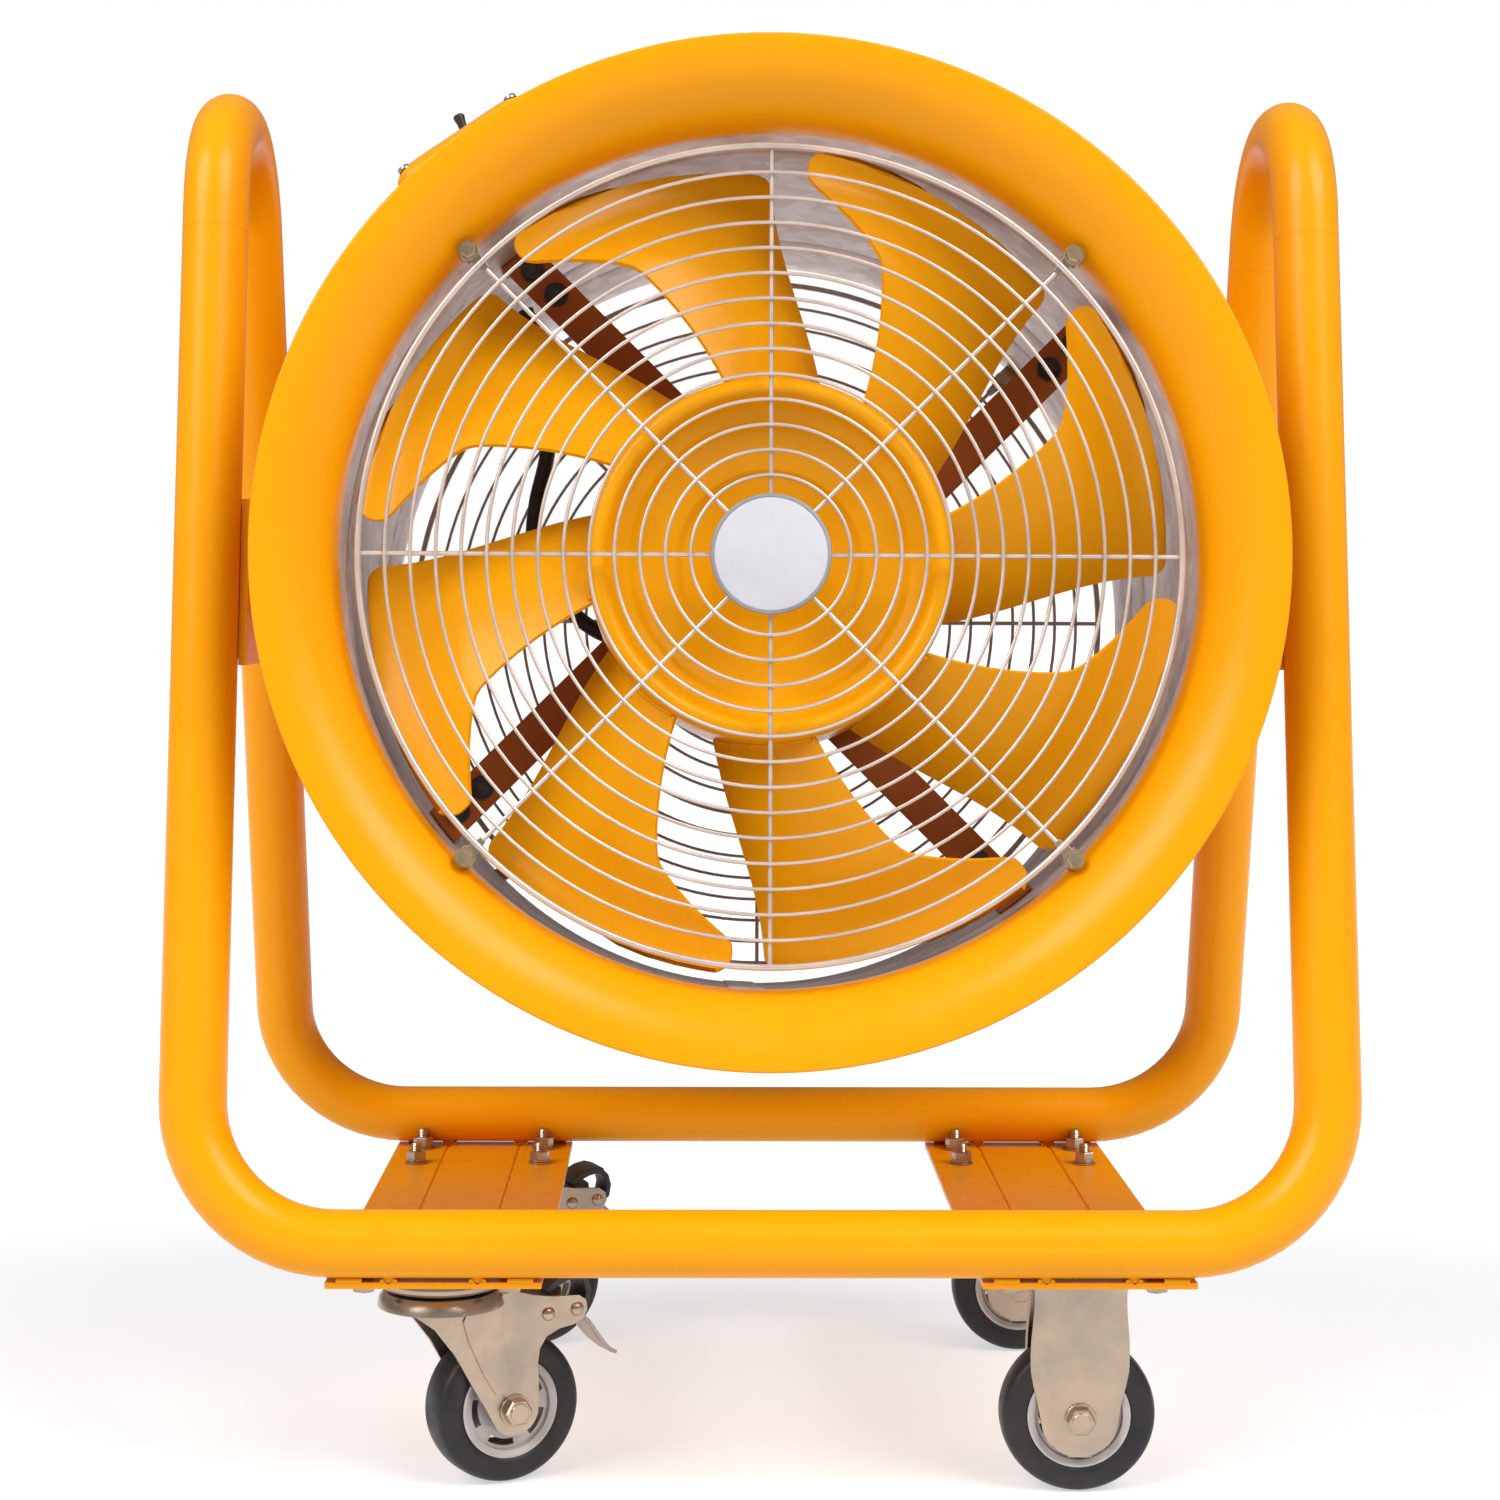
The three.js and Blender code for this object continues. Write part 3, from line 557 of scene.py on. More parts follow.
def base_plate(x):
    half = PLATE_WIDTH / 2
    bottom, top = PLATE_TOP - PLATE_THICK, PLATE_TOP
    groove = [(-1.6, 0), (-0.5, -1.1), (0.5, -1.1), (1.6, 0)]
    section = [(-half, bottom), (half, bottom), (half, top)]
    for at in (STRIP, -STRIP):
        section += [(at - gx, top + gz) for gx, gz in groove]
    section.append((-half, top))
    shape = Shape(shift(x))
    ends = [-PLATE_HALF_LENGTH, PLATE_HALF_LENGTH]
    shape.skin([[(px, y, pz) for px, pz in section] for y in ends])
    for side in (-1, 1):
        for at in (-STRIP, STRIP):
            tab = shift(x + at, side * BAR_Y)
            shape.at(tab).plate(rounded(4, 6, 1.5, 3), top - 0.5, top + 5.5)
            for edge in (-1, 1):
                weld(shape.at(tab), [(edge * 4, y, top + 0.7) for y in (-7, 0, 7)], 3.2)
        weld(shape.at(shift(x)), [(px, side * (BAR_Y + 6.5), top + 1.2) for px in (-60, -44)], 3.6)
        weld(shape.at(shift(x)), [(px, side * (BAR_Y + 6.5), top + 1.2) for px in (46, 62)], 3.6)
    return shape


for side, x in (("left", -PLATE_X), ("right", PLATE_X)):
    piece(
        f"{side}_base_plate_sheet", base_plate(x), YELLOW, "trolley", [f"{side}_base_plate"],
        0.6
    )

MOUNT_BOLT_X = 46
MOUNT_BOLT_Y = 28


def mount_bolts(x, y):
    """The four bolts of a caster: head below the mount, washers, nut and screw end on the base plate."""
    shape = Shape()
    for sx in (-1, 1):
        for sy in (-1, 1):
            place = shift(
                x + sx * MOUNT_BOLT_X, y + sy * MOUNT_BOLT_Y, PLATE_TOP
            ) @ turn(random.uniform(0, 1))
            shape.at(place).rod(8.6, 0.05, 1.6, 28, 0.3)
            shape.rod(7.2, 1.65, 3.3, 24, 0.3)
            hex_head(shape, place, 7.5, 6.2, 3.35)
            thread(shape, place, 4, 9.3, 15.5)
            under = place @ shift(0, 0, -PLATE_THICK - 0.3 - MOUNT_THICK) @ turn(math.pi, "X")
            hex_head(shape, under, 7.5, 5, 0.1)
    return shape


CASTERS = {
    "front_right": (PLATE_X, -CASTER_Y, 0.0),
    "rear_right": (PLATE_X, CASTER_Y, 0.0),
    "front_left": (-PLATE_X, -CASTER_Y, FRONT_YAW),
    "rear_left": (-PLATE_X, CASTER_Y, REAR_YAW),
}
for name, (x, y, _) in CASTERS.items():
    piece(f"{name}_mount_bolts", mount_bolts(x, y), ZINC, "trolley", angle=28)

# ---- Pivot plates -----------------------------------------------------------------------------


def pivot_plate(side):
    low, high = PIVOT_PLATE_LOW, PIVOT_PLATE_HIGH
    outline = [(-leg_y(low), low), (leg_y(low), low), (leg_y(high), high), (-leg_y(high), high)]
    inner = side * (PIVOT_PLATE_OUT - PIVOT_PLATE_THICK / 2)
    stand = Matrix(((0, 0, 1, inner), (1, 0, 0, 0), (0, 1, 0, 0), (0, 0, 0, 1)))
    shape = Shape(stand).plate(
        outline, -PIVOT_PLATE_THICK / 2, PIVOT_PLATE_THICK / 2, [circle(8.3, 40, (0, PIVOT_Z))],
    )
    beads = Shape()
    for leg in (-1, 1):
        # where the leg's round side leaves the plate, on the side of the pivot
        path = [(
            side * (PIVOT_PLATE_OUT + 2.4), leg * (leg_y(z) - 11.5), z
        ) for z in (low + 4, PIVOT_Z, high - 4)]
        weld(beads, path, 5.5, 3.4)
    return shape, beads


for side_name, side in (("left", -1), ("right", 1)):
    plate_shape, bead_shape = pivot_plate(side)
    piece(
        f"{side_name}_pivot_plate_sheet", plate_shape, YELLOW, "trolley",
        [f"{side_name}_pivot_plate"],
    )
    piece(f"{side_name}_pivot_plate_welds", bead_shape, YELLOW, "trolley", angle=60)

# ---- Casters ----------------------------------------------------------------------------------


def mount_plate(shape, place):
    slots = [
        [(sx * MOUNT_BOLT_X + px, sy * MOUNT_BOLT_Y + py) for px, py in rounded(7, 4.6, 4.5, 5)]
        for sx in (-1, 1) for sy in (-1, 1)
    ]
    return shape.at(place).plate(rounded(57, 44, 9), CASTER_TOP - MOUNT_THICK, CASTER_TOP, slots)


def smooth(share):
    share = min(max(share, 0), 1)
    return share * share * (3 - 2 * share)


def rigid_half_width(z):
    """Round below the axle, widest at two thirds of the wheel, waisted and flared at the top."""
    if z < WHEEL_R:
        return max(6.5, math.sqrt(max(0.0, 25 ** 2 - (WHEEL_R - z) ** 2)))
    return 25 + 6.8 * smooth((z - 46) / 38) - 2.2 * smooth((z - 92) / 34) + 4.4 * smooth((z - 130) / 9) ** 2


def rigid_cheek(shape, side):
    """Pressed sheet with both upright edges folded back towards the wheel."""
    levels = [25.2, 26, 27.5, 30, 33, 37, 42, 50, 60, 70, 80, 90, 100, 112, 122, 129, 132, 135, 137.5, 139.4]
    rings = []
    for z in levels:
        half = rigid_half_width(z)
        fold = 5.2 * smooth((z - 25) / 40)
        flat = half * (0.84 - 0.16 * smooth((z - 30) / 40))
        outer = [(-half, FORK_OUT - fold), (-flat - 2, FORK_OUT - 0.6), (-flat + 1, FORK_OUT),
                 (flat - 1, FORK_OUT), (flat + 2, FORK_OUT - 0.6), (half, FORK_OUT - fold)]
        inner = [(half - 1.2, FORK_OUT - fold - 2.2), (flat, FORK_IN + 0.5), (-flat, FORK_IN + 0.5),
                 (-half + 1.2, FORK_OUT - fold - 2.2)]
        rings.append([(px, side * py, z) for px, py in outer + inner])
    return shape.skin(rings)


def rigid_fork(x, y):
    shape = mount_plate(Shape(), shift(x, y))
    shape.at(shift(x, y))
    rigid_cheek(shape, -1)
    rigid_cheek(shape, 1)
    return shape.plate(
        rounded(33, FORK_OUT - 1, 4), CASTER_TOP - MOUNT_THICK - 3, CASTER_TOP - MOUNT_THICK + 0.4
    )


def axle_bolt(place):
    """Hexagon head on one side, washer, nut and screw end on the other."""
    shape = Shape()
    front = place @ FRONTWARDS
    shape.at(front).rod(5, -FORK_OUT - 1, FORK_OUT + 1, 20)
    shape.at(front).rod(10.4, FORK_OUT + 0.15, FORK_OUT + 1.7, 32, 0.3)
    hex_head(shape, front, 9.2, 6.3, FORK_OUT + 1.75)
    shape.at(front).rod(6.2, FORK_OUT + 8, FORK_OUT + 8.9, 24, 0.4)
    back = place @ ALONG_Y
    shape.at(back).rod(10.4, FORK_OUT + 0.15, FORK_OUT + 1.7, 32, 0.3)
    hex_head(shape, back, 9.2, 6, FORK_OUT + 1.75)
    thread(shape, back, 5, FORK_OUT + 7.6, FORK_OUT + 9.2, 1)
    return shape


def wheel_rim(place):
    """An outer band, a hub and two pressed webs with five long slots each."""
    shape = Shape(place @ ALONG_Y)
    shape.lathe([
        (28.2, -13.4), (31.6, -14.6), (33.1, -14.2), (33.1, 14.2), (31.6, 14.6), (28.2, 13.4), (27.6, 10),
        (27.6, -10),
    ], 72)
    shape.lathe([
        (5.4, -16.3), (11.5, -16.3), (12.6, -15.2), (13.4, -8), (13.4, 8), (12.6, 15.2), (11.5, 16.3),
        (5.4, 16.3),
    ], 48)
    for at in (-9.5, 9.5):
        slots = []
        for k in range(5):
            start = k * 72 + 9
            slots.append(arc((0, 0), 25.6, start, start + 44, 10) + arc((0, 0), 21.2, start + 44, start, 10))
        shape.plate(circle(28, 72), at - 0.9, at + 0.9, [circle(12.9, 48), *slots])
    return shape


def wheel_tyre(place):
    half = 15
    profile = [(33.3, -13.5), (35, -14.6), (38, -half), (43, -half)]
    profile += [(43 + 6.2 * math.sin(a), -half + 6.2 * (1 - math.cos(a))) for a in (0.3, 0.6, 0.9, 1.2, 1.45)]
    profile += [(49.75, -6), (WHEEL_R - 0.05, 0)]
    profile += [(r, -z) for r, z in reversed(profile[:-1])]
    return Shape(place @ ALONG_Y).lathe(profile, 96)


def race_plate(x, y):
    shape = mount_plate(Shape(), shift(x, y))
    under = CASTER_TOP - MOUNT_THICK
    return shape.at(shift(x, y)).lathe([
        (0, under + 0.3), (33, under + 0.3), (38.5, under - 0.6), (40, under - 3), (39.6, under - 5.6),
        (37.4, 132.6),
        (34, 132.2), (0, 132.2),
    ], 72)


def swivel_cheek():
    """Outline in X and Z of one side of a swivel fork."""
    foot = arc((TRAIL, WHEEL_R), 17, 214, 350, 14)
    return [
        (-30, 127), (-31, 121.5), (-24, 117), (-12, 108), (0, 92), (12, 70), (22, 53), *foot[1:],
        (59.4, 62), (58.5, 78), (60, 88), (65, 95.5), (74, 99.5), (84, 101), (91, 104.5), (94, 110),
        (93, 116.5),
        (88, 120), (70, 121), (56, 123.5), (44, 127),
    ]


STAND = Matrix(((1, 0, 0, 0), (0, 0, -1, 0), (0, 1, 0, 0), (0, 0, 0, 1)))  # draws X and Y as X and Z


def swivel_fork(place):
    shape = Shape(place)
    shape.lathe([
        (0, 131.6), (29, 131.6), (36.5, 130.2), (39.5, 126.5), (40.6, 120.5), (38.9, 120.1), (36.2, 125),
        (31, 128.3), (0, 128.3),
    ], 72)
    hole = circle(5.4, 24, (TRAIL, WHEEL_R))
    rib = [(14, 126), (6, 112), (10, 98), (20, 76), (29, 61), (37, 62), (37, 80), (34, 100), (34, 126)]
    for side in (-1, 1):
        # the drawing plane's own Z points to -Y
        low, high = sorted((side * FORK_IN, side * FORK_OUT))
        shape.at(place @ STAND).plate(swivel_cheek(), low, high, [hole])
        low, high = sorted((side * (FORK_OUT - 0.6), side * (FORK_OUT + 1.3)))
        shape.plate(rib, low, high)
    return shape


def swivel_rivets(place):
    """Domed rivets through the cheeks, which the brake hangs on."""
    shape = Shape()
    for rx, rz in ((66, 110), (86.5, 111)):
        for side, facing in ((-1, FRONTWARDS), (1, ALONG_Y)):
            spot = place @ shift(rx, side * FORK_OUT, rz) @ facing
            dome = [(0, -1)] + [(4.6, -1)] + [
                (4.6 * math.cos(a), 3.1 * math.sin(a)) for a in (0, 0.35, 0.7, 1.05, 1.35)
            ]
            shape.at(spot).lathe([*dome, (0, 3.1)], 28)
        shape.at(place @ shift(rx, 0, rz) @ ALONG_Y).rod(2.4, -FORK_OUT + 1, FORK_OUT - 1, 16)
    return shape



def brake_pedal(place):
    """The steel tongue under a black tread, with the shoe that bites the tyre."""
    shape = Shape(place)
    tongue = [(72, 106), (82, 108), (91, 106.5), (98, 100), (104, 91), (110, 83.5), (117, 77), (123.5, 73.8)]
    shape.ribbon(tongue, [26, 27, 28, 30, 31, 28, 20, 8], 2.4)
    shape.at(place, 1)
    shape.ribbon([(68, 122), (74, 127.5), (81, 131), (88, 132.5), (94, 131)], [27, 29, 30, 30, 27], 5)
    shape.ribbon([(91, 106), (97.5, 112), (99, 120), (97, 127), (92, 132)], [22, 24, 24, 24, 24], 4)
    shape.ribbon([(63.5, 113), (66.5, 105), (71.5, 98.5), (77.5, 93)], [20, 22, 20, 8], 5)
    return shape


for name, (x, y, yaw) in CASTERS.items():
    swivels = "left" in name
    place = shift(x, y) @ turn(yaw)
    hub = place @ shift(TRAIL if swivels else 0, 0, WHEEL_R)
    holder = f"{name}_swivel" if swivels else "trolley"
    if swivels:
        piece(
            f"{name}_race_plate", race_plate(x, y), ZINC, "trolley", [f"{name}_caster_plate"],
            0.5
        )
        piece(
            f"{name}_swivel_fork", swivel_fork(place), ZINC, holder, [f"{name}_caster_fork"],
            0.9, 30, 3
        )
        piece(f"{name}_fork_rivets", swivel_rivets(place), ZINC, holder)
        piece(
            f"{name}_pedal", brake_pedal(place), [PRESSED, BLACK], f"{name}_brake",
            [f"{name}_brake_pedal"], 0.8, 30, 3,
        )
    else:
        piece(
            f"{name}_rigid_fork", rigid_fork(x, y), ZINC, holder, [f"{name}_caster_fork"], 0.5
        )
    piece(f"{name}_axle", axle_bolt(hub), ZINC, holder, [f"{name}_axle_bolt"], angle=28)
    piece(f"{name}_rim", wheel_rim(hub), RIM, f"{name}_wheel", [f"{name}_wheel_rim"], 0.3)
    piece(
        f"{name}_tyre", wheel_tyre(hub), RUBBER, f"{name}_wheel", [f"{name}_wheel_tyre"],
        angle=50
    )

# ---- Drum -------------------------------------------------------------------------------------

AXIAL = DRUM @ ALONG_Y  # draws Z as the fan's axis, from front to back


def bell_mouth():
    centre = BORE_R + FLARE
    front = [(
        centre - FLARE * math.cos(a), BELL_START - FLARE * math.sin(a)
    ) for a in (math.radians(3 * k) for k in range(31))]
    lip_back = BELL_START - FLARE
    curl = LIP_R - centre
    roll = [(
        centre + curl * math.sin(a), lip_back + curl * (1 - math.cos(a))
    ) for a in (math.radians(15 * k) for k in range(1, 7))]
    hem = [
        (LIP_R, lip_back + 12), (LIP_R - 0.8, lip_back + 12.8), (LIP_R - 1.9, lip_back + 12),
        (LIP_R - 1.9, lip_back + 5)
    ]
    thin = FLARE - SHEET
    back = [(
        centre - thin * math.cos(a), BELL_START - thin * math.sin(a)
    ) for a in (math.radians(5 * k) for k in range(17, -1, -1))]
    return Shape(AXIAL).lathe(front + roll + hem + back, 192)


def barrel():
    """Rolled sheet with three swaged grooves and a turned rear flange; its lap seam and two bosses are drawn by
    barrel_seam and boss.
    """
    shape = Shape(AXIAL)
    inner, outer = [], []
    at = BELL_START + 0.3
    swages = (-118, 66, 124)
    for s in swages:
        for offset, depth in ((-5, 0), (-3, 1.1), (-1, 1.8), (1, 1.8), (3, 1.1), (5, 0)):
            inner.append((BORE_R + depth, s + offset))
            outer.append((BORE_R + SHEET + depth, s + offset))
    end = BARREL_END
    profile = [(BORE_R, at), *inner, (BORE_R, end - 2), (BORE_R + 1, end - 0.4), (BORE_R + 3, end),
               (FLANGE_R - 0.6, end), (FLANGE_R, end - 0.8), (FLANGE_R, end - 2),
               (FLANGE_R - 0.6, end - SHEET),
               (BORE_R + 5.2, end - SHEET), (BORE_R + 3.4, end - 3.4), (BORE_R + SHEET, end - 5.5),
               *reversed(outer), (BORE_R + SHEET, at)]
    shape.lathe(profile, 192)
    for face in shape.bm.faces:
        middle = AXIAL.inverted() @ face.calc_center_median()
        face.material_index = 0 if math.hypot(middle.x, middle.y) < BORE_R + 2.1 else 1
    return shape


def barrel_seam():
    """The lap seam along the drum's floor, with its row of spot welds."""
    shape = Shape(DRUM)
    bottom = math.radians(267)
    near, far = BORE_R - 0.9, BORE_R + 0.7
    rings = []
    for s in (BELL_START + 2, -60, 0, 60, BARREL_END - 6):
        ring = []
        for r, spread in ((near, -11), (near, 11), (far, 11), (far, -11)):
            a = bottom + spread / BORE_R
            ring.append((r * math.cos(a), s, r * math.sin(a)))
        rings.append(ring)
    shape.skin(rings)
    for s in range(-140, 205, 23):
        spot = DRUM @ turn(-bottom, "Y") @ shift(BORE_R - 0.8, s, 0) @ turn(-math.pi / 2, "Y")
        shape.at(spot).lathe([(0, -0.3), (3.2, -0.3), (2.6, 0.35), (1.2, 0.15), (0, 0.1)], 16)
    return shape


def boss(side):
    end = 328.4 - side * DRUM_X
    return Shape(DRUM @ turn(side * math.pi / 2, "Y")).lathe([
        (8.3, BORE_R + 4.5), (24, BORE_R + 0.8), (24, BORE_R + 3.2), (20.5, BORE_R + 6), (20, BORE_R + 8),
        (20, end - 0.8), (19.2, end), (9.2, end), (8.3, end - 0.8),
    ], 48)


def pivot_bolt(side):
    place = DRUM @ turn(side * math.pi / 2, "Y")
    shape = Shape(place)
    face = PIVOT_PLATE_OUT + 0.3 - side * DRUM_X
    shape.rod(8, BORE_R + 8, face + 3, 32)
    shape.lathe([(8.5, face), (17, face), (17, face + 2), (16.2, face + 2.6), (8.5, face + 2.6)], 48)
    shape.lathe([(0, face + 2.65), (12.6, face + 2.65), (12.6, face + 4.4), (0, face + 4.4)], 40)
    hex_head(shape, place, 13.2, 8.2, face + 4.5)
    return shape


piece("bell_mouth_sheet", bell_mouth(), YELLOW, "drum", ["bell_mouth"], angle=50)
piece("barrel_sheet", barrel(), [GALVANISED, YELLOW], "drum", ["casing_barrel"], angle=50)
piece("barrel_seam", barrel_seam(), GALVANISED, "drum", angle=40)
for side_name, side in (("left", -1), ("right", 1)):
    piece(f"{side_name}_pivot_boss", boss(side), YELLOW, "drum")
    piece(
        f"{side_name}_pivot_screw", pivot_bolt(side), ZINC, "drum", [f"{side_name}_pivot_bolt"],
        angle=28
    )

# ---- Guards -----------------------------------------------------------------------------------

RINGS = [50 + 15.87 * k for k in range(13)]
OUTER_RING = 257.2


def guard(at, face, reach):
    """Rings lie on the outside of the spokes. face is -1 at the front and 1 at the back."""
    place = DRUM @ shift(0, at, 0) @ ALONG_Y
    shape = Shape(place)
    for radius in RINGS:
        shape.at(place @ shift(0, 0, face * 1.2)).torus(radius, 1.2, 112, 9)
    shape.at(place @ shift(0, 0, face * 0.6)).torus(OUTER_RING, 2.1, 144, 12)
    for k in range(8):
        angle = TAU * k / 8
        end = reach - 14 if k % 2 else OUTER_RING
        path = [(r * math.cos(angle), r * math.sin(angle), -face * 1.1) for r in (22, 90, 170, end)]
        shape.at(place).sweep(path, 1.5, 10)
    return shape


def guard_lugs(at, face, reach):
    """At each diagonal: the spoke's flattened eye, a screw through it and a small angle on the wall."""
    eyes, screws = Shape(), Shape()
    wall = BORE_R
    for k in range(4):
        angle = TAU * (2 * k + 1) / 8
        spot = DRUM @ shift(0, at, 0) @ turn(-angle, "Y")
        lie = Matrix(((1, 0, 0, 0), (0, 0, 1, 0), (0, -1, 0, 0), (0, 0, 0, 1)))
        tongue = [(reach - 22, -2.2), (reach - 14, -3.4)]
        tongue += arc((reach - 6, 0), 6.2, -140, 140, 14)
        tongue += [(reach - 14, 3.4), (reach - 22, 2.2)]
        eyes.at(spot @ lie).plate(tongue, -1.1, 1.1, [circle(2.7, 16, (reach - 6, 0))])
        bracket = [(reach - 12, 2), (reach - 6, 2.2), (wall - 1.8, 2.6), (wall - 1.2, 5), (wall - 1.2, 20)]
        eyes.at(spot @ turn(-math.pi / 2, "X")).ribbon(
            [(px, -face * py) for px, py in bracket], [11] * 5, 1.6
        )
        facing = FRONTWARDS if face < 0 else ALONG_Y
        head = spot @ shift(reach - 6, 0, 0) @ facing
        screws.at(head).rod(6.4, 1.2, 2.2, 24, 0.2)
        hex_head(screws, head @ turn(0.3 * k), 5.2, 3.6, 2.25)
        screws.at(head).rod(2.4, -9, 2.4, 14, 0.3)
        hex_head(screws, head @ turn(math.pi, "X"), 5.2, 3.4, 3.6)
    return eyes, screws


for name, at, face, reach, finish in (
    ("front", FRONT_GUARD_AT, -1, 274, WIRE), ("rear", REAR_GUARD_AT, 1, 268, DARK_WIRE),
):
    piece(
        f"{name}_guard_wires", guard(at, face, reach), finish, "drum", [f"{name}_guard"],
        angle=60
    )
    eye_shape, screw_shape = guard_lugs(at, face, reach)
    piece(f"{name}_guard_eyes", eye_shape, ZINC, "drum", bevel=0.25)
    piece(f"{name}_guard_screws", screw_shape, BRASSY, "drum", angle=28)


def guard_cap():
    place = DRUM @ shift(0, FRONT_GUARD_AT - 2.6, 0) @ FRONTWARDS
    shape = Shape(place)
    dome = [(
        35.4 * math.sin(a), 3.6 + 1.9 * (math.cos(a) - math.cos(1.3)) / (1 - math.cos(1.3))
    ) for a in (0, 0.3, 0.6, 0.85, 1.05, 1.2, 1.3)]
    dome = [(r / math.sin(1.3), z) for r, z in dome]
    shape.lathe([(0, 1), (35.4, 1), *reversed(dome)], 96)
    shape.at(place, 1).lathe(
        [(35.5, 0.2), (36.8, 0), (37.8, 0.8), (38, 2.4), (37.4, 3.7), (36.4, 4.1), (35.5, 3.9)], 96
    )
    return shape


piece("guard_cap_disc", guard_cap(), [CAP, CAP_RIM], "drum", ["guard_cap"], angle=40)

# ---- Impeller ---------------------------------------------------------------------------------

HUB_R = 115.7
BLADE_ROOT_R = 116.2
BLADE_TIP_R = 260
BLADE_FRONT = -163
BLADE_THICK = 3
BLADE_START = math.radians(58)


def impeller_hub():
    front = [
        (22, -102.4), (55, -102.2), (57.4, -103), (59.4, -105.6), (61.4, -106.2), (84.6, -108), (87, -109.4),
        (89.2, -114.8), (91, -116.4), (97.4, -118), (99.6, -120.4), (101.8, -128), (103.4, -132.6),
        (105.8, -135.2),
        (109, -136), (112.2, -135), (114.6, -132.2), (HUB_R, -128), (HUB_R, -60), (115, -58.4),
    ]
    back = [
        (112.7, -58.4), (112.7, -126), (111, -131), (108, -132.4), (105.6, -130.6), (101.8, -116.8),
        (92.6, -113),
        (88, -105.6), (62, -103.4), (58, -99.4), (22, -99.2), (22, -80), (8.5, -80), (8.5, -112),
        (9.5, -113), (21, -113),
        (22, -112),
    ]
    return Shape(AXIAL @ shift(0, 0, -35)).lathe(front + back, 144)


def share_at(radius):
    return (radius - BLADE_ROOT_R) / (BLADE_TIP_R - BLADE_ROOT_R)


def corner_trim(radius, corner):
    left = min(BLADE_TIP_R - radius, corner)
    return (corner - math.sqrt(corner ** 2 - (corner - left) ** 2)) / radius


def leading(radius):
    """The leading edge sweeps forwards along a soft bend and ends in a blunt finger."""
    share = share_at(radius)
    past = share - 0.617
    swept = 1 + 17 * share + 20 * (past + math.hypot(past, 0.03))
    end = 26.6
    blunt = (swept + end - math.hypot(swept - end, 0.8)) / 2
    return math.radians(blunt) - corner_trim(radius, 9)


def trailing(radius):
    return math.radians(-30.8 + 17.4 * (1 - (1 - share_at(radius)) ** 2.1)) + corner_trim(radius, 11)


def blade_point(radius, chord):
    lead, trail = leading(radius), trailing(radius)
    angle = lead + (trail - lead) * chord
    along = BLADE_FRONT + (52 + 8 * share_at(radius)) * (0.7 * chord + 0.3 * chord ** 2)
    return Vector((radius * math.cos(angle), along, radius * math.sin(angle)))


BLADE_RADII = [
    BLADE_ROOT_R, 126, 140, 155, 170, 184, 194, 200, 205, 210, 216, 223, 230, 236, 240, 244, 248, 251, 253, 255,
    256.6, 257.9, 258.9, 259.6, 259.92, BLADE_TIP_R,
]
BLADE_CHORDS = [0, 0.03, 0.08, 0.16, 0.28, 0.4, 0.52, 0.66, 0.8, 0.9, 0.97, 1]


def blade(k):
    shape = Shape(DRUM @ turn(-(BLADE_START + TAU * k / 8), "Y"))
    across, down = len(BLADE_CHORDS), len(BLADE_RADII)
    front = [[blade_point(r, c) for c in BLADE_CHORDS] for r in BLADE_RADII]

    def normal(i, j):
        a = front[min(i + 1, down - 1)][j] - front[max(i - 1, 0)][j]
        b = front[i][min(j + 1, across - 1)] - front[i][max(j - 1, 0)]
        n = a.cross(b).normalized()
        return n if n.y > 0 else -n

    rings = []
    for i, row in enumerate(front):
        back = [row[j] + normal(i, j) * BLADE_THICK for j in range(across)]
        rings.append(row + back[::-1])
    return shape.skin(rings)


def blade_weld(k):
    shape = Shape(DRUM @ turn(-(BLADE_START + TAU * k / 8), "Y"))
    path = []
    for c in (0.03, 0.2, 0.4, 0.6, 0.8, 0.97):
        p = blade_point(BLADE_ROOT_R, c)
        flat = Vector((p.x, 0, p.z)).normalized() * (HUB_R + 0.5)
        path.append((flat.x, p.y - 0.2, flat.z))
    return weld(shape, path, 3.6, 3)


piece("impeller_hub_pressing", impeller_hub(), BLADE, "impeller", ["impeller_hub"], angle=45)
for k in range(8):
    piece(f"blade_{k + 1}_sheet", blade(k), BLADE, "impeller", [f"blade_{k + 1}"], 1.1, 50, 3)
    piece(f"blade_{k + 1}_weld", blade_weld(k), BLADE, "impeller", angle=60)


def hub_bolt():
    place = DRUM @ FRONTWARDS
    shape = Shape(place)
    shape.rod(18, 151.3, 154.2, 48, 0.5)
    shape.rod(11.5, 154.25, 156, 32, 0.4)
    hex_head(shape, place, 9.5, 6, 156.05)
    return shape


piece("hub_screw", hub_bolt(), ZINC, "impeller", ["hub_bolt"], angle=28)
piece(
    "motor_shaft",
    Shape(DRUM @ ALONG_Y).lathe([(0, -151), (7.4, -151), (8.2, -150.2), (8.2, -60), (0, -60)], 40),
    ZINC, "impeller", ["motor_rotor"],
)

# ---- Motor and struts -------------------------------------------------------------------------


MOTOR = AXIAL @ shift(0, 0, MOTOR_AT)


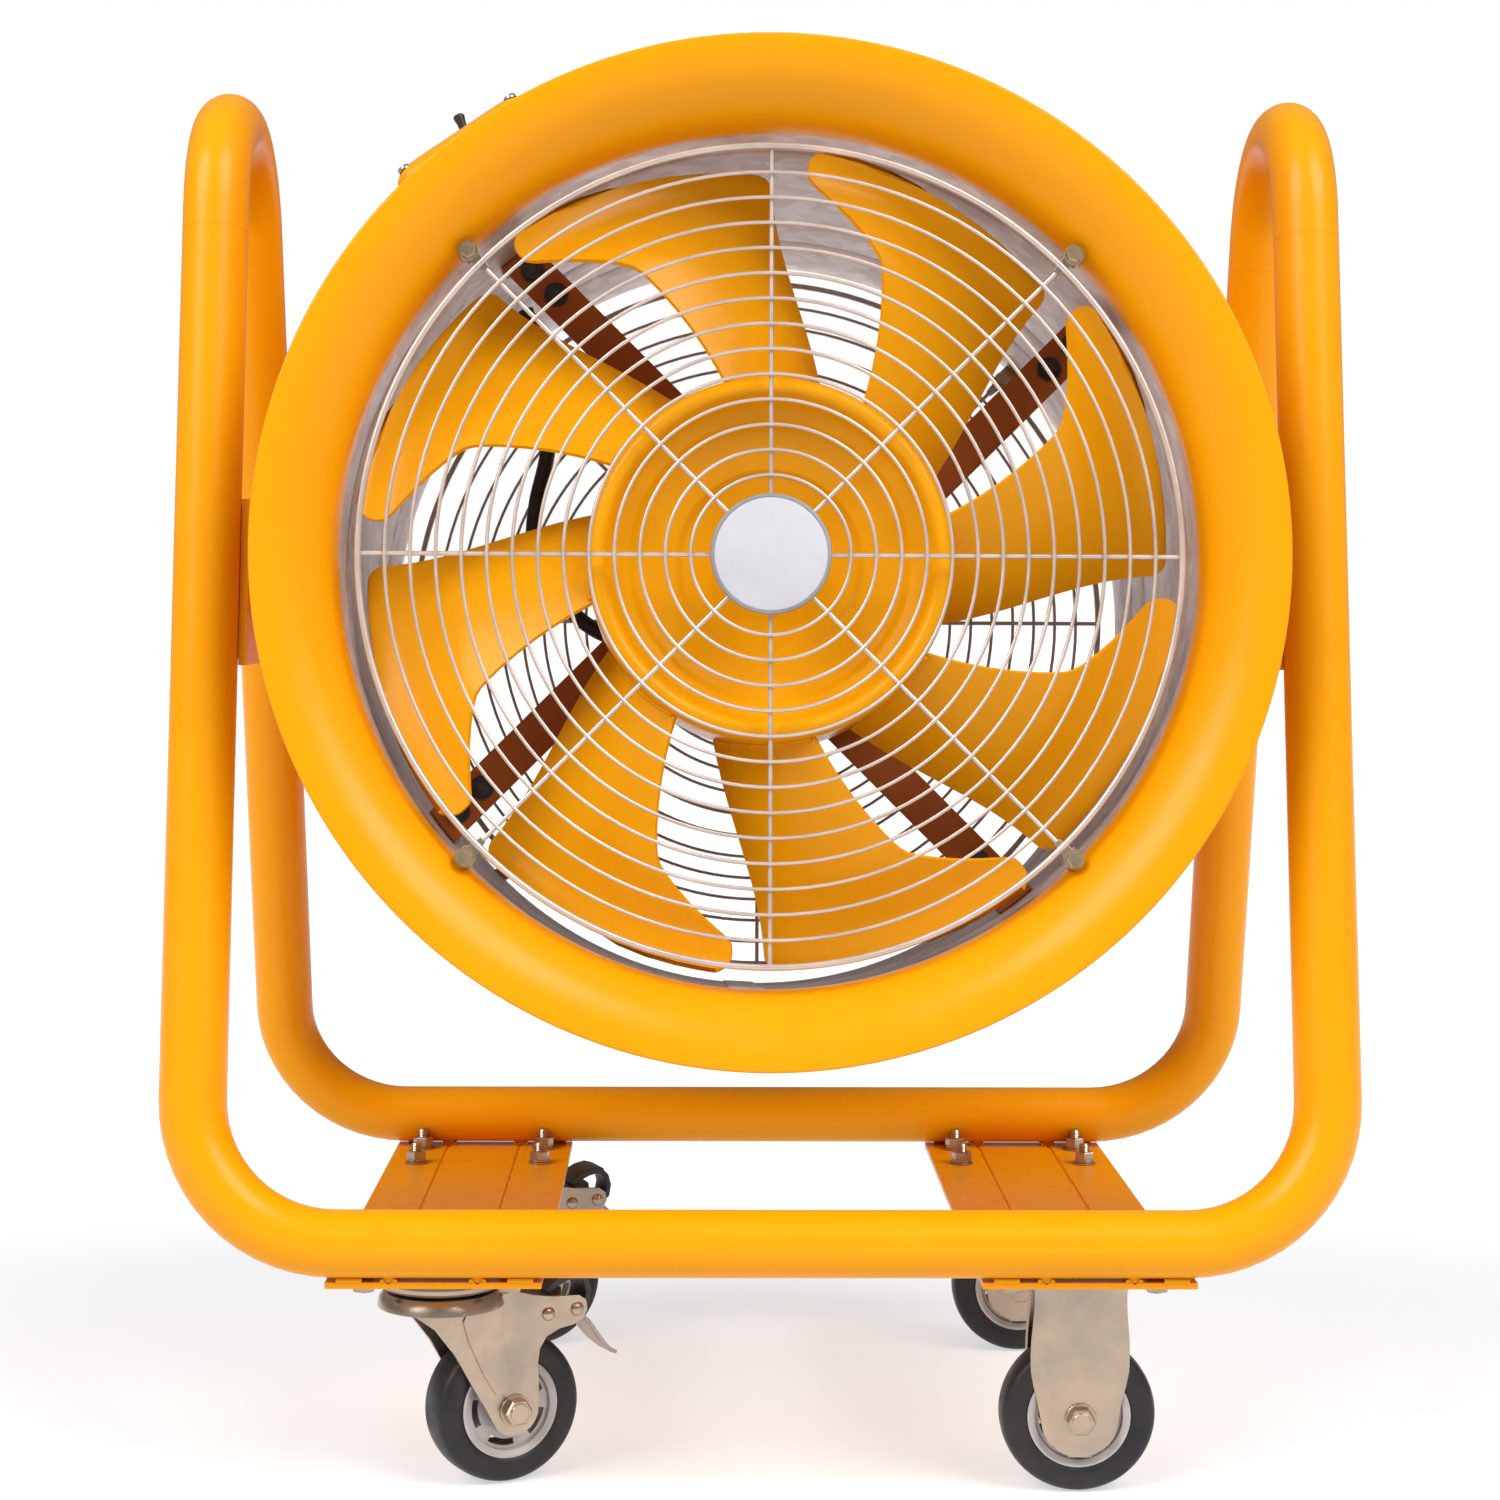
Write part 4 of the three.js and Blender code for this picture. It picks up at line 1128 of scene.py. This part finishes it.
def motor_body():
    shape = Shape(MOTOR)
    core = 68.5
    end = MOTOR_LENGTH
    shape.lathe([
        (0, 0.6), (MOTOR_R - 2, 0.6), (MOTOR_R, 2), (MOTOR_R, 7), (core, 9), (core, end - 46),
        (MOTOR_R - 1, end - 44),
        (MOTOR_R, end - 42), (MOTOR_R, end - 8), (MOTOR_R - 2, end - 3), (MOTOR_R - 8, end), (0, end),
    ], 96)
    for k in range(36):
        angle = TAU * (k + 0.5) / 36
        if abs(math.sin(2 * angle)) > 0.985:
            continue
        fin = MOTOR @ turn(angle) @ shift(core - 1)
        shape.at(fin).skin([
            [(0, -1.5, 8), (0, 1.5, 8), (0, 1.5, end - 45), (0, -1.5, end - 45)],
            [(6.3, -0.9, 11), (6.3, 0.9, 11), (6.3, 0.9, end - 46), (6.3, -0.9, end - 46)],
        ])
    return shape


def motor_cowl():
    """Fan cowl over the motor's back: a flat cover with rings of air slots."""
    place = MOTOR @ shift(0, 0, MOTOR_LENGTH - 0.4)
    shape = Shape(place)
    slots = []
    for ring, count in ((24, 8), (38, 12), (52, 16)):
        for k in range(count):
            start = 360 * k / count
            sweep = 360 / count * 0.62
            slots.append(arc(
                (0, 0), ring + 3, start, start + sweep, 6
            ) + arc((0, 0), ring - 3, start + sweep, start, 6))
    shape.plate(circle(63, 72), 0, 1.4, slots)
    return shape


def motor_shield():
    return Shape(MOTOR).lathe([
        (9.2, -14), (24, -14), (26.5, -13), (30, -10.6), (66, -8.4), (71, -6.8), (73.6, -4.4), (MOTOR_R, -3),
        (MOTOR_R, -0.3), (24, -0.3), (24, 4), (17.6, 4), (17.6, -10), (9.2, -10),
    ], 96)


def strut(angle):
    """A flat arm beside its diagonal, from a saddle on the motor to a foot on the drum's wall."""
    arm = DRUM @ turn(-angle, "Y")
    shape = Shape(arm)
    back = STRUT_AT + 24
    lows, highs = [], []
    for k in range(9):
        z = STRUT_ASIDE - 13 + 26 * k / 8
        near = math.sqrt((MOTOR_R + 0.4) ** 2 - z * z)
        far = math.sqrt((BORE_R - 0.4) ** 2 - z * z)
        lows.append((near, z))
        highs.append((far, z))
    rings = []
    for (near, z), (far, _) in zip(lows, highs):
        rings.append([
            (near, STRUT_AT + 1.5, z), (near + 1.5, STRUT_AT, z), (far - 1.5, STRUT_AT, z),
            (far, STRUT_AT + 1.5, z),
            (far, back, z), (far - 4, back, z), (far - 4, STRUT_AT + 5.5, z), (far - 5.5, STRUT_AT + 4, z),
            (near + 5.5, STRUT_AT + 4, z), (near + 4, STRUT_AT + 5.5, z), (near + 4, back, z),
            (near, back, z),
        ])
    return shape.skin(rings)


def strut_bolts(angle):
    shape = Shape()
    arm = DRUM @ turn(-angle, "Y")
    for z in (STRUT_ASIDE - 6.5, STRUT_ASIDE + 6.5):
        far = math.sqrt(BORE_R ** 2 - z * z)
        near = math.sqrt(MOTOR_R ** 2 - z * z)
        hex_head(shape, arm @ shift(far - 4.4, STRUT_AT + 15, z) @ turn(-math.pi / 2, "Y"), 5, 4)
        hex_head(shape, arm @ shift(near + 4.2, STRUT_AT + 15, z) @ ALONG_X, 5, 4)
    for x in (BORE_R - 40, BORE_R - 18):
        spot = arm @ shift(x, STRUT_AT, STRUT_ASIDE) @ FRONTWARDS
        shape.at(spot).rod(8, 0.05, 1.4, 24, 0.2)
        hex_head(shape, spot, 6.4, 4.6, 1.45)
        shape.at(spot).rod(3.4, 5.8, 9, 16, 0.5)
    return shape


# The motor, its shield and struts take the dark brown painted shade, not a lit enamel colour.
piece("motor_body_casting", motor_body(), PAINTED_SHADE_BROWN, "drum", ["motor_body"], 0.5)
piece("motor_cowl", motor_cowl(), BLACK, "drum", bevel=0.3)
piece("motor_shield_casting", motor_shield(), PAINTED_SHADE_BROWN, "drum", ["motor_front_shield"], 0.4)
for i, degrees in enumerate((45, 135, 225, 315), 1):
    piece(
        f"motor_strut_{i}_bracket", strut(math.radians(degrees)), PAINTED_SHADE_BROWN, "drum", [f"motor_strut_{i}"],
        0.7
    )
    piece(
        f"motor_strut_{i}_bolts", strut_bolts(math.radians(degrees)), BLACK, "drum",
        angle=28
    )

LEAD_AT = 62
LEAD_R = 5.5
LEAD_ROUTE = [
    (-76, -28), (-112, -24), (-142, 0), (-160, 34), (-160, 66), (-152, 104), (-149, 150), (-168, 206)
]


def rounded_route(points, steps):
    """A Catmull-Rom curve through points."""
    ends = [points[0] * 2 - points[1], *points, points[-1] * 2 - points[-2]]
    made = []
    for a, b, c, d in zip(ends, ends[1:], ends[2:], ends[3:]):
        for k in range(steps):
            t = k / steps
            made.append(0.5 * (2 * b + (c - a) * t + (
                2 * a - 5 * b + 4 * c - d
            ) * t ** 2 + (3 * b - a - 3 * c + d) * t ** 3))
    return [*made, points[-1]]


def motor_lead():
    shape = Shape(DRUM)
    shape.sweep(rounded_route([Vector((x, LEAD_AT, z)) for x, z in LEAD_ROUTE], 8), LEAD_R, 20)
    start = Vector((LEAD_ROUTE[0][0], LEAD_AT, LEAD_ROUTE[0][1]))
    shape.at(DRUM @ shift(*start) @ turn(-math.pi / 2, "Y")).lathe(
        [(5.4, 14), (5.4, 0), (5.4, -6.4), (11, -6.4), (11, 3), (9.4, 4), (9, 9), (7.4, 14)], 24)
    return shape


piece("motor_lead_flex", motor_lead(), BLACK, "drum", ["motor_lead"], angle=40)

# ---- Terminal box -----------------------------------------------------------------------------

TERMINAL = DRUM @ turn(-BOX_ANGLE, "Y")
STANDING = TERMINAL @ Matrix(((0, 0, 1, 0), (0, 1, 0, 0), (-1, 0, 0, 0), (0, 0, 0, 1)))  # Z goes outwards


def terminal_tray():
    shape = Shape(STANDING)
    shape.plate(rounded(52, 45, 10), BOX_BOTTOM, BOX_TOP, [rounded(49, 42, 7)])
    shape.plate(rounded(49.2, 42.2, 7.2), BOX_BOTTOM, BOX_BOTTOM + 4)
    for edge in (-1, 1):
        foot = [(px, py + edge * 50) for px, py in rounded(30, 9, 5)]
        shape.plate(foot, BOX_BOTTOM - 0.5, BOX_BOTTOM + 2)
    return shape


def terminal_lid():
    shape = Shape(STANDING)
    levels = [(53, 46, 11, BOX_TOP + 0.3), (53, 46, 11, LID_TOP - 12), (52, 45, 10.4, LID_TOP - 9),
              (48.5, 41.5, 9, LID_TOP - 5.6), (42.5, 36.5, 8, LID_TOP - 2.6), (35, 30, 7, LID_TOP - 0.7),
              (28, 24, 6, LID_TOP)]
    return shape.skin([[(px, py, z) for px, py in rounded(hx, hy, r, 8)] for hx, hy, r, z in levels])


def lid_screws():
    shape = Shape()
    for sx in (-1, 1):
        for sy in (-1, 1):
            spot = STANDING @ shift(sx * 43, sy * 36, LID_TOP - 4)
            shape.at(spot).lathe(
                [(0, -1), (4.6, -1), (4.6, 0.6), (4, 1.7), (2.6, 2.3), (2.2, 1.2), (0, 1.2)], 24
            )
    return shape


AROUND = STANDING @ shift(-SWITCH_AROUND, 0, 0)


def switch_collar():
    shape = Shape(AROUND)
    base = LID_TOP + 0.25
    shape.lathe([
        (5.5, base), (12, base), (12, base + 0.8), (9.4, base + 1), (9.4, base + 3.2), (8.6, base + 3.7),
        (5.5, base + 3.7)
    ], 40)
    return shape


def switch_lever():
    lean = math.radians(12)
    place = TERMINAL @ shift(LID_TOP + 2, 0, SWITCH_AROUND) @ turn(lean, "Y") @ ALONG_X
    profile = [(0, 0), (3, 0), (3.6, 1.2), (2.9, 4), (3.2, 9), (3.95, 12.4), (3.9, 13.8), (3, 14.8), (0, 15)]
    return Shape(place).lathe(profile, 28)


def cable_gland():
    place = TERMINAL @ shift(BOX_BOTTOM + 30, 45.3, 0) @ ALONG_Y
    shape = Shape(place)
    hex_head(shape, place, 13, 7.6)
    shape.at(place).lathe([
        (4.5, 7.7), (11, 7.7), (11, 9), (10, 9.6), (10.2, 17), (9.6, 19.5), (8, 21.5), (6, 22), (4.5, 21),
        (4.5, 14),
    ], 40)
    for k in range(12):
        ridge = place @ turn(TAU * k / 12) @ shift(10)
        shape.at(ridge).rod(1, 9.8, 17, 8, 0.3)
    return shape


piece("terminal_box_tray", terminal_tray(), YELLOW, "drum", ["terminal_box"], 1.2, 32, 3)
piece("terminal_lid_cover", terminal_lid(), YELLOW, "drum", ["terminal_box_lid"], angle=40)
piece("terminal_lid_screws", lid_screws(), ZINC, "drum")
piece("switch_collar_ring", switch_collar(), BLACK, "drum", ["switch_collar"])
piece("switch_lever_stick", switch_lever(), BLACK, "switch_lever", ["toggle_switch"])
piece("cable_gland_body", cable_gland(), BLACK, "drum", ["cable_gland"])
for name, seat in (("front_bearing", -9.7), ("rear_bearing", 160.7)):
    ring = Shape(MOTOR).lathe([
        (8.5, seat), (11, seat), (11.4, seat + 0.6), (14.3, seat + 0.6), (14.7, seat), (17.3, seat),
        (17.3, seat + 11), (8.5, seat + 11),
    ], 48)
    piece(f"{name}_race", ring, ZINC, "drum", [name], angle=28)

# ---- Studio -----------------------------------------------------------------------------------

floor_shape = Shape().skin(
    [[(-40000, y, 0), (40000, y, 0)] for y in (-40000, 40000)], around=False, caps=False
)
floor_mesh = floor_shape.mesh("floor")
floor_finish = Finish("studio_floor", Roughness=0.9, Specular_IOR_Level=0.1, Emission_Strength=0.56)
floor_finish.shader.inputs["Emission Color"].default_value = (0.98, 0.99, 1, 1)
floor_finish.colour(floor_finish.noise(1.5, 3), (0.44, 0.45, 0.46), (0.47, 0.47, 0.48))
floor_mesh.materials.append(floor_finish.material)
floor = bpy.data.objects.new("floor", floor_mesh)
bpy.context.scene.collection.objects.link(floor)

SKY_LIGHT = 0.25
SKY_SEEN = 1.0
world = bpy.data.worlds.new("studio")
world.use_nodes = True
sky = world.node_tree
lit = sky.nodes["Background"]
lit.inputs["Color"].default_value = (1.0, 0.99, 0.98, 1)
lit.inputs["Strength"].default_value = SKY_LIGHT
seen = sky.nodes.new("ShaderNodeBackground")
seen.inputs["Color"].default_value = (1, 1, 1, 1)
seen.inputs["Strength"].default_value = SKY_SEEN
either = sky.nodes.new("ShaderNodeMixShader")
sky.links.new(sky.nodes.new("ShaderNodeLightPath").outputs["Is Camera Ray"], either.inputs[0])
sky.links.new(lit.outputs[0], either.inputs[1])
sky.links.new(seen.outputs[0], either.inputs[2])
sky.links.new(either.outputs[0], sky.nodes["World Output"].inputs["Surface"])
bpy.context.scene.world = world


def soft_sun(name, azimuth, elevation, strength, spread):
    """A soft distant light. Azimuth 0 shines from the front, 90 from +X; spread is its width in degrees."""
    data = bpy.data.lights.new(name, "SUN")
    data.energy = strength
    data.angle = math.radians(spread)
    light = bpy.data.objects.new(name, data)
    a, e = math.radians(azimuth), math.radians(elevation)
    source = Vector((math.sin(a) * math.cos(e), -math.cos(a) * math.cos(e), math.sin(e)))
    light.rotation_mode = "QUATERNION"
    light.rotation_quaternion = (-source).to_track_quat("-Z", "Y")
    bpy.context.scene.collection.objects.link(light)


soft_sun("right_window", 48, 46, 2.55, 36)
soft_sun("left_window", -50, 42, 2.35, 36)

bpy.context.scene.view_settings.view_transform = "Standard"
